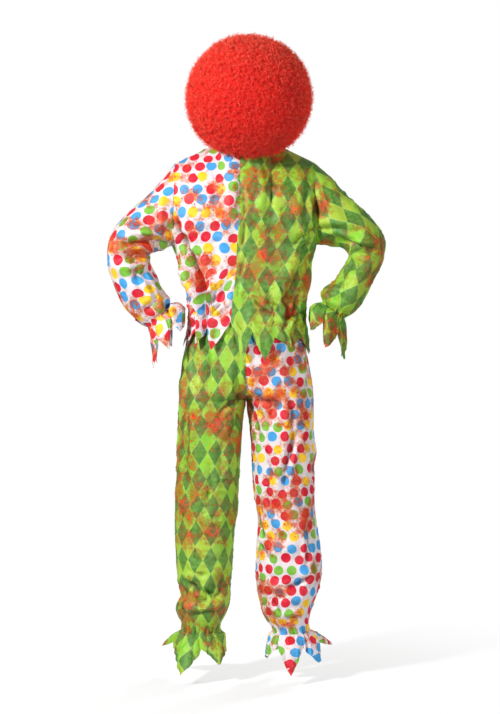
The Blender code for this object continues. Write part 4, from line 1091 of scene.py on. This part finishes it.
def reach_at(reaches, polar, azimuth):
    """The skin's reach between the directions of that grid, along straight lines both ways."""
    fringe = face_edge(azimuth) - FRINGE_LEAN
    row = np.clip((polar - fringe) / (np.pi - fringe) * (BALL_ROWS + 1) - 1, 0, BALL_ROWS - 1.001)
    column = azimuth / (2 * np.pi) * BALL_COLUMNS % BALL_COLUMNS
    above, before = row.astype(int), column.astype(int) % BALL_COLUMNS
    down, on = row - above, column - before
    after = (before + 1) % BALL_COLUMNS
    upper = reaches[above, before] * (1 - on) + reaches[above, after] * on
    return upper * (1 - down) + (reaches[above + 1, before] * (1 - on) + reaches[above + 1, after] * on) * down


def base_under(reach, ways):
    """Where the curls' base lies: their depth below the skin, but always a thin wall above the cap."""
    return np.maximum(reach - CURL_DEPTH, reach_to(HEAD_MIDDLE, HEAD_HALF_SIZE, ways) + BASE_WALL)


def round_skin(rows, poles):
    """Points and faces of a closed skin through rings of points, its first and last ring drawn to a pole."""
    count, columns = rows.shape[:2]
    points = np.concatenate((rows.reshape(-1, 3), np.array(poles)))
    faces = grid_faces(count, columns, True)[0]
    around = np.arange(columns)
    following = (around + 1) % columns
    top = (count - 1) * columns
    first = np.column_stack((following, around, np.full(columns, count * columns)))
    last = np.column_stack((top + around, top + following, np.full(columns, count * columns + 1)))
    corners = points[faces]
    normals = np.cross(corners[:, 2] - corners[:, 0], corners[:, 3] - corners[:, 1])
    outside = np.einsum("ij,ij->i", corners.mean(axis=1), normals).sum()
    lists = [*faces.tolist(), *first.tolist(), *last.tolist()]
    return points, lists if outside > 0 else [face[::-1] for face in lists]


def make_cap(middle, finish):
    """The net cap: a thin skin between two ellipsoids, rounded at the edge of the face opening."""
    azimuth = turns_round(CAP_COLUMNS)
    edge = face_edge(azimuth)
    polar = edge + (np.pi - edge) * np.linspace(0, 1, CAP_ROWS + 2)[1:-1, None]
    ways = wig_directions(polar, azimuth + 0 * polar)
    reach = reach_to(HEAD_MIDDLE, HEAD_HALF_SIZE, ways)[..., None]
    back_reach = reach_to(HEAD_MIDDLE, HEAD_HALF_SIZE, FACE_BACK)
    outer, inner = middle + (reach - CAP_GAP) * ways, middle + (reach - CAP_GAP - CAP_WALL) * ways
    poles = [middle + FACE_BACK * (back_reach - CAP_GAP - wall) for wall in (0, CAP_WALL)]
    skin = round_skin(np.concatenate((outer[::-1], inner)), poles)
    add_mesh("cap_net", *skin, finish, "cap_net", ("wig_cap",))


def make_ball(middle, outer_ways, reaches, finish):
    """The base under the curls: the ball's skin less their depth, a rounded lip and the hollow for the head."""
    azimuth = turns_round(BALL_COLUMNS)
    edge = face_edge(azimuth)
    outer_reach = base_under(reaches, outer_ways)
    lumps = waves(outer_ways * outer_reach[..., None], BASE_LUMP_SIZE, (1, 1, 1), 5)
    outer_reach = outer_reach + BASE_LUMP * lumps
    inner_polar = edge + (np.pi - edge) * np.linspace(0, 1, BALL_ROWS + 2)[1:-1, None]
    inner_ways = wig_directions(inner_polar, azimuth + 0 * inner_polar)
    inner_reach = reach_to(HEAD_MIDDLE, HEAD_HALF_SIZE, inner_ways)
    share, turn = np.array(LIP).T[..., None]
    lip_ways = wig_directions(edge + turn, azimuth + 0 * turn)
    lip_reach = inner_reach[0] + (outer_reach[0] * LIP_REACH - inner_reach[0]) * share
    parts = (inner_reach, inner_ways), (lip_reach, lip_ways), (outer_reach, outer_ways)
    hollow, lip, outside = (middle + reach[..., None] * ways for reach, ways in parts)
    poles = (
        middle + FACE_BACK * reach_to(HEAD_MIDDLE, HEAD_HALF_SIZE, FACE_BACK),
        middle + FACE_BACK * (reaches[-1].mean() - CURL_DEPTH),
    )
    skin = round_skin(np.concatenate((hollow[::-1], lip, outside)), poles)
    add_mesh("curl_base", *skin, finish, "red_curls", ("wig_curls",))


def curl_roots(middle, reaches):
    """The curls' roots, ways out and the room each may fill: even on a golden spiral, then over the front lip.

    A lip root lies some share of the way from cap to skin, and its way out leans into the face opening.
    """
    rng = np.random.default_rng(7)
    number = np.arange(CURL_COUNT) + 0.5
    height = 1 - 2 * number / CURL_COUNT
    turn = GOLDEN_TURN * number
    flat = np.sqrt(1 - height**2)
    ball = np.stack((flat * np.cos(turn), flat * np.sin(turn), height), axis=-1)
    ways = unit(ball * WIG_HALF_SIZE + WIG_MIDDLE - HEAD_MIDDLE + rng.normal(0, ROOT_STRAY, ball.shape))
    polar = np.arccos(np.clip(ways @ FACE_AHEAD, -1, 1))
    azimuth = np.arctan2(ways[:, 0], ways @ FACE_UP)
    kept = polar > face_edge(azimuth) - FRINGE_LEAN * ROOT_LEAN
    ways = ways[kept]
    reach = reach_at(reaches, polar[kept], azimuth[kept])
    base = base_under(reach, ways)
    roots = middle + ways * (base - CURL_SINK)[:, None]
    room = np.maximum(reach - base, LEAST_ROOM)
    azimuth, share = rng.uniform(-np.pi, np.pi, LIP_CURLS), rng.uniform(*LIP_SHARE, LIP_CURLS)
    edge = face_edge(azimuth)
    polar = edge + np.interp(share, *np.array(LIP).T)
    along = wig_directions(polar, azimuth)
    into = unit(wig_directions(polar - LIP_LOOK, azimuth) - along)
    near = reach_to(HEAD_MIDDLE, HEAD_HALF_SIZE, wig_directions(edge, azimuth))
    fringe = edge - FRINGE_LEAN
    far = base_under(reach_at(reaches, fringe, azimuth), wig_directions(fringe, azimuth)) * LIP_REACH
    lip_roots = middle + (near + (far - near) * share)[:, None] * along - CURL_SINK * into
    lip_ways = unit(into + share[:, None] * along)
    room = np.concatenate((room, np.full(LIP_CURLS, LEAST_ROOM)))
    return np.concatenate((roots, lip_roots)), np.concatenate((ways, lip_ways)), room


def curl_tubes(roots, ways, room, rng):
    """Corkscrew locks as rings of points, with the way that each point faces.

    A lock's path rises along a leaning axis to its depth and winds round it, first wider and then narrower. Its
    tube is a small ring across that path, thinner towards the tip.
    """
    count = len(ways)
    lean = rng.normal(size=(count, 3)) * CURL_LEAN
    axis = unit(ways + lean - (lean * ways).sum(-1, keepdims=True) * ways)
    one = unit(np.cross(axis, (0.31, 0.52, 0.79)))
    other = np.cross(axis, one)
    wind = rng.uniform(*CURL_WIND, count) * rng.choice((-1, 1), count)
    radius = rng.uniform(*CURL_RADIUS, count)
    thick = rng.uniform(*CURL_THICKNESS, count)
    depth = room * rng.uniform(*CURL_FILL, count) + CURL_SINK
    stray = rng.random(count) < STRAY_SHARE
    depth = np.where(stray, depth + rng.uniform(*STRAY_REACH, count), depth)
    start_turn = rng.uniform(0, 2 * np.pi, count)
    t = np.linspace(0, 1, CURL_RINGS)[None, :, None]
    turn = start_turn[:, None, None] + 2 * np.pi * wind[:, None, None] * t
    grow = (0.55 + 0.45 * np.sin(np.pi * (0.15 + 0.7 * t))) * radius[:, None, None]
    around = np.cos(turn) * one[:, None] + np.sin(turn) * other[:, None]
    rise = (depth / np.maximum((axis * ways).sum(-1), LEAST_RISE))[:, None, None] * t
    path = roots[:, None] + rise * axis[:, None] + grow * around
    forward = unit(np.gradient(path, axis=1))
    side_one = unit(np.cross(forward, axis[:, None] + 0.01))
    side_two = np.cross(forward, side_one)
    spin = np.arange(CURL_SIDES) * 2 * np.pi / CURL_SIDES
    width = (thick[:, None, None] * (1.05 - 0.6 * t**2))[:, :, None]
    round_way = np.cos(spin)[:, None] * side_one[:, :, None] + np.sin(spin)[:, None] * side_two[:, :, None]
    facing = unit(CURL_FACING * ways[:, None, None] + (1 - CURL_FACING) * round_way)
    return path[:, :, None] + width * round_way, facing


def make_curls(middle, reaches, finish):
    """The locks on the ball's base, shared out over a few pieces: closed tubes, lighter or darker at random,
    painted lighter on top.
    """
    rng = np.random.default_rng(11)
    roots, ways, room = curl_roots(middle, reaches)
    tube, facing = curl_tubes(roots, ways, room, rng)
    each = CURL_RINGS * CURL_SIDES
    one_curl = grid_faces(CURL_RINGS, CURL_SIDES, True)[0]
    first = np.arange(CURL_SIDES)
    ends = first[::-1], first + each - CURL_SIDES
    # painted light: each lock's random lightness is raised the further up it points, so the top of the wig is
    # lighter
    tone = np.clip(rng.normal(*CURL_TONE, len(ways)) + CURL_PAINTED_TOP_LIGHT * ways[:, 2], 0, 1)
    for piece in range(CURL_PIECES):
        chosen = np.arange(piece, len(ways), CURL_PIECES)
        shift = np.arange(len(chosen))[:, None, None] * each
        faces = (one_curl + shift).reshape(-1, 4).tolist()
        for end in ends:
            faces += (end + shift[:, 0]).tolist()
        along = np.linspace(0, 1, CURL_RINGS)[None, :, None] + np.zeros((len(chosen), 1, CURL_SIDES))
        tones = tone[chosen][:, None, None] + 0 * along
        points, normals = tube[chosen].reshape(-1, 3), facing[chosen].reshape(-1, 3)
        add_mesh(f"curls_{piece + 1}", points, faces, finish, "red_curls", normals=normals, along=along, tone=tones)


def tree_of(node, grids=()):
    """A search tree of a CAD node's faces, and of some grids."""
    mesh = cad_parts[node].data
    points = [tuple(point.co) for point in mesh.vertices]
    faces = [tuple(face.vertices) for face in mesh.polygons]
    for grid in dict(grids).values():
        faces += (grid_faces(*grid.shape[:2], False)[0] + len(points)).tolist()
        points += grid.reshape(-1, 3).tolist()
    return BVHTree.FromPolygons(points, faces)


class Level:
    """A shader value that can stand in a sum: each operator adds one Math node."""

    def __init__(self, graph, socket):
        self.graph, self.socket = graph, socket

    def __add__(self, other):
        return self.graph.math("ADD", self, other)

    def __radd__(self, other):
        return self.graph.math("ADD", other, self)

    def __sub__(self, other):
        return self.graph.math("SUBTRACT", self, other)

    def __mul__(self, other):
        return self.graph.math("MULTIPLY", self, other)

    def __truediv__(self, other):
        return self.graph.math("DIVIDE", self, other)


class Graph:
    """A small helper for a material's nodes: each call adds one and links what it is given."""

    def __init__(self, name):
        self.material = bpy.data.materials.new(name)
        self.material.use_nodes = True
        self.tree = self.material.node_tree
        self.shader = self.tree.nodes["Principled BSDF"]

    def add(self, kind, inputs=(), **settings):
        """A new node with its settings and inputs."""
        node = self.tree.nodes.new("ShaderNode" + kind)
        for key, value in settings.items():
            setattr(node, key, value)
        for key, value in dict(inputs).items():
            self.put(value, node.inputs[key])
        return node

    def put(self, value, socket):
        """A link from another socket, or a constant; a colour may be hexadecimal digits or red, green and blue."""
        value = value.socket if isinstance(value, Level) else value
        if isinstance(value, bpy.types.NodeSocket):
            self.tree.links.new(value, socket)
        else:
            value = rgb(value) if isinstance(value, str) else value
            socket.default_value = (*value, 1) if socket.type == "RGBA" else value

    def read(self, output, kind, inputs=(), **settings):
        """One output of a new node."""
        return Level(self, self.add(kind, inputs, **settings).outputs[output])

    def attribute(self, name):
        """A value that the mesh holds at its points."""
        return self.read("Fac", "Attribute", attribute_name=name)

    def place(self):
        """The place on the object, in metres."""
        return self.read("Object", "TexCoord")

    def parts(self, whole, kind="XYZ"):
        """The three numbers of a vector, or of a colour."""
        return [Level(self, output) for output in self.add("Separate" + kind, {0: whole}).outputs]

    def math(self, operation, first, second=0.0, clamp=False):
        """One sum of two values, kept from 0 to 1 when clamped."""
        return self.read(0, "Math", {0: first, 1: second}, operation=operation, use_clamp=clamp)

    def mix(self, share, first, second, **settings):
        """Colours mixed by a share from 0 to 1."""
        return self.read(2, "Mix", {0: share, 6: first, 7: second}, data_type="RGBA", **settings)

    def step(self, value, low, high):
        """0 below low and 1 above high, smooth between."""
        edges = {"Value": value, "From Min": low, "From Max": high}
        return self.read(0, "MapRange", edges, interpolation_type="SMOOTHSTEP")

    def noise(self, at, scale, detail=2.0, rough=0.5):
        """Noise from 0 to 1, with about scale lumps in a metre."""
        return self.read("Fac", "TexNoise", {"Vector": at, "Scale": scale, "Detail": detail, "Roughness": rough})

    def ramp(self, value, stops, how="LINEAR"):
        """A colour read off a row of places and colours."""
        node = self.add("ValToRGB", {"Fac": value})
        node.color_ramp.interpolation = how
        while len(node.color_ramp.elements) < len(stops):
            node.color_ramp.elements.new(0.5)
        for element, (place, color) in zip(node.color_ramp.elements, stops, strict=True):
            element.position = place
            element.color = (*rgb(color), 1)
        return node.outputs["Color"]

    def finish(self, color, roughness, bump=None, depth=0.001, **constants):
        """The shader's colour, roughness and bump, and what is the same all over on its own sockets."""
        if bump is not None:
            constants["Normal"] = self.read("Normal", "Bump", {"Height": bump, "Distance": depth, "Strength": 1.0})
        for key, value in {"Base_Color": color, "Roughness": roughness, **constants}.items():
            self.put(value, self.shader.inputs[key.replace("_", " ")])
        return self.material


def rgb(code):
    """A colour given as six hexadecimal digits, in the linear values that shaders take."""
    parts = np.array([int(code[place : place + 2], 16) for place in (0, 2, 4)]) / 255
    return tuple(np.where(parts <= 0.04045, parts / 12.92, ((parts + 0.055) / 1.055) ** 2.4).tolist())


def splattered(graph, color, place, haze_share, more_paint):
    """Generic paint splatter over a print: a glaze in soft clouds, spots where they are densest, then specks.

    Noises of about 120, 50, 14 and 5 mm are added up; spots and their darker cores start at two levels of the sum.
    """
    place = graph.read(0, "VectorMath", {0: place, 1: SPLATTER_SHIFT}, operation="ADD")
    level = graph.read(0, "VectorMath", {0: place, 1: SPLATTER_STRETCH}, operation="MULTIPLY")
    places = level, place, place, place
    noises = [graph.noise(at, *size) - 0.5 for at, size in zip(places, SPLATTER_NOISES, strict=True)]
    broad, blotch, middle, fine = noises
    cloud = broad * CLOUD_BROAD + blotch + middle * CLOUD_MIDDLE
    grain = middle * HAZE_GRAIN[0] + fine * HAZE_GRAIN[1]
    haze = graph.step(cloud + grain, *HAZE_EDGE) * haze_share
    color = graph.mix(1.0, color, graph.mix(haze, WHITE, GLAZE), blend_type="MULTIPLY")
    color = graph.mix(haze * HAZE_TINT, color, HAZE_COLOR)
    paint = cloud + more_paint + middle * PAINT_GRAIN[0] + fine * PAINT_GRAIN[1]
    for edge, share, layer in PAINT_LAYERS:
        color = graph.mix(graph.step(paint, *edge) * share, color, layer)
    drops = graph.add(
        "TexVoronoi", {"Vector": place, "Scale": SPECK_SCALE, "Randomness": 1.0}, voronoi_dimensions="3D"
    )
    luck = graph.parts(drops.outputs["Color"], "Color")
    near = graph.step(Level(graph, drops.outputs["Distance"]) - luck[0] * SPECK_SIZE, *SPECK_EDGE)
    often = graph.step(cloud + luck[1] * SPECK_LUCK, *SPECK_WHERE)
    return graph.mix(near * often * SPECK_SHARE, color, SPECK_COLOR)


def cloth_finish(graph, color, flat, place, haze_share, more_paint):
    """What both satins share: splatter, paler wrong side, fine slanting weave, small wrinkles, shade and sheen."""
    color = splattered(graph, color, place, haze_share, more_paint)
    color = graph.mix(graph.attribute("wrong_side") * WRONG_SIDE_PALENESS, color, WRONG_SIDE_COLOR)
    handled = graph.noise(place, *HANDLED_NOISE)
    color = graph.mix(graph.step(handled, 0.35, 0.75) * HANDLED_SHARE, color, HANDLED_COLOR)
    threads = graph.read(
        "Fac", "TexWave", {"Vector": flat, "Scale": WEAVE_SCALE, "Distortion": 0.6, "Detail": 1.0},
        wave_type="BANDS", bands_direction="DIAGONAL",
    )  # fmt: skip
    height = graph.noise(flat, *WRINKLE_NOISE) + threads * WEAVE_HEIGHT
    # painted shade: the cloth is darker in creases and hollows, by how deep each point lies under the cloth round
    # it
    shade = graph.mix(graph.step(graph.attribute("hollow"), *HOLLOW_EDGE), WHITE, HOLLOW_SHADE)
    color = graph.mix(1.0, color, shade, blend_type="MULTIPLY")
    gloss = {"Sheen_Weight": 0.04, "Sheen_Roughness": 0.4, "Specular_IOR_Level": 0.28}
    return graph.finish(color, SATIN_ROUGHNESS + handled * ROUGHER_WHERE_HANDLED, height, WRINKLE_DEPTH, **gloss)


def dotted_satin(name, pitch):
    """White satin with dots on a loose triangular lattice: a sheared square one, its points moved a little."""
    graph = Graph(name)
    flat = graph.read("UV", "UVMap", uv_map="cloth")
    place = graph.place()
    u, v, _ = graph.parts(flat)
    row = v / (pitch * DOT_ROW)
    sheared = graph.read(0, "CombineXYZ", {"X": u / pitch - row * 0.5, "Y": row})
    cells = graph.add(
        "TexVoronoi", {"Vector": sheared, "Scale": 1.0, "Randomness": DOT_LOOSENESS}, voronoi_dimensions="2D"
    )
    away = graph.read(0, "VectorMath", {0: sheared, 1: cells.outputs["Position"]}, operation="SUBTRACT")
    x, y, _ = graph.parts(away)
    squares = [graph.math("POWER", length, 2.0) for length in (x + y * 0.5, y * DOT_ROW)]
    distance = graph.math("SQRT", squares[0] + squares[1])
    luck = graph.parts(cells.outputs["Color"], "Color")
    radius = DOT_RADIUS + luck[1] * DOT_RADIUS_SPREAD
    inside = graph.step(distance - radius, *DOT_EDGE)
    paint = graph.ramp(luck[0], DOT_COLORS, "CONSTANT")
    return cloth_finish(graph, graph.mix(inside, DOT_GROUND, paint), flat, place, DOT_HAZE, MORE_PAINT_ON_DOTS)


def diamond_satin(name, width, height):
    """Green satin in diamonds: the floors of u/width plus and minus v/height, light where their sum is odd."""
    graph = Graph(name)
    flat = graph.read("UV", "UVMap", uv_map="cloth")
    place = graph.place()
    u, v, _ = graph.parts(flat)
    across, down = u / width + (graph.noise(flat, 22.0) - 0.5) * DIAMOND_WOBBLE, v / height
    slants = across + down, across - down
    floors = [graph.math("FLOOR", slant) for slant in slants]
    odd = graph.math("PINGPONG", floors[0] + floors[1], 1.0)
    edge = graph.math("MINIMUM", *[graph.math("PINGPONG", slant, 0.5) for slant in slants])
    mottle = graph.noise(place, 75.0, 4.0, 0.6)
    light = graph.mix(graph.step(graph.noise(place, 9.0, 2.0), 0.35, 0.7), *LIGHT_DIAMOND[:2])
    light = graph.mix(graph.step(mottle, 0.45, 0.75) * 0.55, light, LIGHT_DIAMOND[2])
    dark = graph.mix(graph.step(mottle, 0.3, 0.7), *DARK_DIAMOND)
    color = graph.mix(graph.step(odd, 0.40, 0.60), dark, light)
    color = graph.mix(graph.step(edge, 0.06, 0.01) * 0.22, color, DIAMOND_OUTLINE)
    return cloth_finish(graph, color, flat, place, DIAMOND_HAZE, MORE_PAINT_ON_DIAMONDS)


def curl_finish(name, is_base):
    """Glossy nylon hair: deep red at the root, orange red at the tip partly as painted rim light; lighter or darker
    by lock, painted lighter on top.
    """
    graph = Graph(name)
    place = graph.place()
    clumps = graph.noise(place, 260.0, 4.0, 0.7)
    if is_base:
        color = graph.mix(graph.step(clumps, 0.40, 0.66), *CURL_BASE_COLORS)
    else:
        share = graph.attribute("along") * 0.62 + graph.attribute("tone") * 0.34
        fine = (graph.noise(place, 420.0, 2.0) - 0.5) * 0.35
        # the ramp's lighter orange tips are partly painted light, standing in for light through the tips at the
        # wig's rim
        color = graph.ramp(graph.math("ADD", share, fine, clamp=True), CURL_COLORS)
    sheen = {"Sheen_Weight": 0.6, "Sheen_Roughness": 0.4, "Sheen_Tint": CURL_SHEEN}
    return graph.finish(color, 0.5, clumps, 0.004 if is_base else 0.0008, Specular_IOR_Level=0.25, **sheen)


def elastic():
    """Woven elastic: ribs that stand on end round the waist, with threads across, and painted shade in the grooves.
    """
    graph = Graph("elastic")
    place = graph.place()
    x, y, z = graph.parts(place)
    ribs = graph.math("SINE", graph.math("ARCTAN2", x, y) * RIBS_ROUND)
    height = ribs + graph.math("SINE", z * THREADS_UP) * 0.4
    # painted shade: the elastic's colour is darker in the grooves between its ribs
    color = graph.mix(graph.step(ribs, -0.6, 0.4), *ELASTIC_COLORS)
    color = graph.mix(graph.noise(place, 300.0) * 0.2, color, ELASTIC_DUST)
    return graph.finish(color, 0.78, height, 0.0004, Sheen_Weight=0.2)


def cap_net():
    """Stretch net of the wig's cap: crossed threads over the ground."""
    graph = Graph("cap_net")
    at = {"Vector": graph.place(), "Scale": NET_SCALE, "Distortion": 0.4}
    height = graph.math("MAXIMUM", *[graph.read("Fac", "TexWave", at, bands_direction=way) for way in ("X", "Z")])
    color = graph.mix(graph.step(height, 0.5, 0.9), *NET_COLORS)
    return graph.finish(color, 0.7, height, 0.0005, Sheen_Weight=0.1)


def white_floor():
    """A pale floor that turns into the white around it a little way out, by distance from the middle."""
    graph = Graph("white_floor")
    place = graph.place()
    far = graph.read("Value", "VectorMath", {0: place}, operation="LENGTH")
    graph.finish(graph.mix(graph.noise(place, 3.0) * 0.03, *FLOOR_COLORS), 0.85)
    seen = graph.read("Is Camera Ray", "LightPath")
    strength = graph.read(0, "MapRange", {"Value": seen, "To Min": WORLD_GLOW, "To Max": FLOOR_GLOW})
    glow = graph.read(0, "Emission", {"Color": WHITE, "Strength": strength})
    share = graph.math("MAXIMUM", graph.step(far, *FLOOR_FADE), FLOOR_PALENESS)
    both = graph.read(0, "MixShader", {0: share, 1: graph.shader.outputs[0], 2: glow})
    output = next(node for node in graph.tree.nodes if node.type == "OUTPUT_MATERIAL")
    graph.put(both, output.inputs["Surface"])
    return graph.material


def make_costume():
    """The two garments: grids with folds, the skirt laid over the trousers, then the walls of cloth."""
    top_dots = dotted_satin("dotted_satin_top", TOP_DOT)
    leg_dots = dotted_satin("dotted_satin_legs", LEG_DOT)
    top_diamonds = diamond_satin("diamond_satin_top", *TOP_DIAMOND)
    leg_diamonds = diamond_satin("diamond_satin_legs", *LEG_DIAMOND)
    band_tree = tree_of("waistband")
    legs, rows, finishes = {}, {}, {}
    for side, word, finish in ((1, "left", leg_diamonds), (-1, "right", leg_dots)):
        for face in ("back", "front"):
            name = f"trousers_{face}_{word}"
            grid, rows[name] = trouser_panel(face, side, band_tree)
            legs[name] = facing_out(grid, np.array(LEG_CORE) * (side, 1, 1))
            finishes[name] = finish
    folded = worked(legs, TROUSER_FOLDS + TROUSER_CREASES + fan_folds(TROUSER_FANS), TROUSER_RUCKLES)
    maps = {name: cloth_map(grid, folded[name], rows[name]) for name, grid in legs.items()}
    legs = sew(folded, maps, finishes)
    top = {}
    for side, word, finish in ((1, "left", top_dots), (-1, "right", top_diamonds)):
        for face in ("back", "front"):
            name = f"top_{face}_{word}"
            top[name] = facing_out(torso_panel(face, side), TOP_CORE)
            rows[name], finishes[name] = len(top[name]), finish
        name = f"sleeve_{word}"
        grid, rows[name] = sleeve(side)
        top[name] = facing_out(grid, grid[: rows[name]].mean(axis=(0, 1)))
        finishes[name] = finish
    folds = TOP_FOLDS + SLEEVE_FOLDS + TOP_CREASES + SLEEVE_CREASES + fan_folds(TOP_FANS)
    folded = worked(top, folds, TOP_RUCKLES, SOLIDS)
    maps = {}
    for name, grid in top.items():
        tube = name in SOLIDS
        level = -np.inf if tube else UNDERARM_Z + MM
        maps[name] = cloth_map(grid, folded[name], rows[name], tube, level)
    sew(draped(folded, tree_of("waistband", legs)), maps, finishes, SOLIDS)


def make_wig():
    """The cap, the ball's base and the curls on it, all measured from where the cap's top is."""
    middle = HEAD_MIDDLE - (0, 0, HEAD_MIDDLE[2] + HEAD_HALF_SIZE[2] - CAP_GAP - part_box("wig_cap")[1][2])
    make_cap(middle, cap_net())
    ways, reaches = ball_grid(middle, tree_of("wig_curls"))
    make_ball(middle, ways, reaches, curl_finish("curl_base", True))
    make_curls(middle, reaches, curl_finish("red_curls", False))


def turned_to(place, aim):
    """The turn that points a light or the camera from its place to its aim."""
    return (Vector(aim) - Vector(place)).to_track_quat("-Z", "Y").to_euler()


def make_studio():
    """A pale floor, a white surround, soft lights round the object, and the camera behind the wearer."""
    size = FLOOR_HALF_SIZE
    corners = [(x, y, FLOOR_Z) for x, y in ((-size, -size), (size, -size), (size, size), (-size, size))]
    mesh = bpy.data.meshes.new("floor")
    mesh.from_pydata(corners, [], [(0, 1, 2, 3)])
    mesh.materials.append(white_floor())
    placed("floor", mesh)
    world = bpy.data.worlds.new("studio")
    world.use_nodes = True
    nodes, links = world.node_tree.nodes, world.node_tree.links
    seen = nodes.new("ShaderNodeLightPath").outputs["Is Camera Ray"]
    glow = nodes.new("ShaderNodeMapRange")
    links.new(seen, glow.inputs["Value"])
    glow.inputs["To Min"].default_value, glow.inputs["To Max"].default_value = WORLD_GLOW, 1.0
    nodes["Background"].inputs["Color"].default_value = (1, 1, 1, 1)
    links.new(glow.outputs[0], nodes["Background"].inputs["Strength"])
    bpy.context.scene.world = world
    for name, place, aim, size, power, in_gloss in LIGHTS:
        light = bpy.data.lights.new(name, "AREA")
        light.shape, light.size, light.energy = "DISK", size, power
        placed(name, light, place, turned_to(place, aim)).visible_glossy = in_gloss
    camera = bpy.data.cameras.new("camera")
    camera.lens, camera.sensor_width, camera.clip_end = CAMERA_LENS, 36.0, 100.0
    scene = bpy.context.scene
    scene.camera = placed("camera", camera, CAMERA_PLACE, turned_to(CAMERA_PLACE, CAMERA_AIM))
    scene.view_settings.view_transform = "Standard"


make_studio()
make_costume()
make_wig()
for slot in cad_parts["waistband"].material_slots:
    slot.material = elastic()
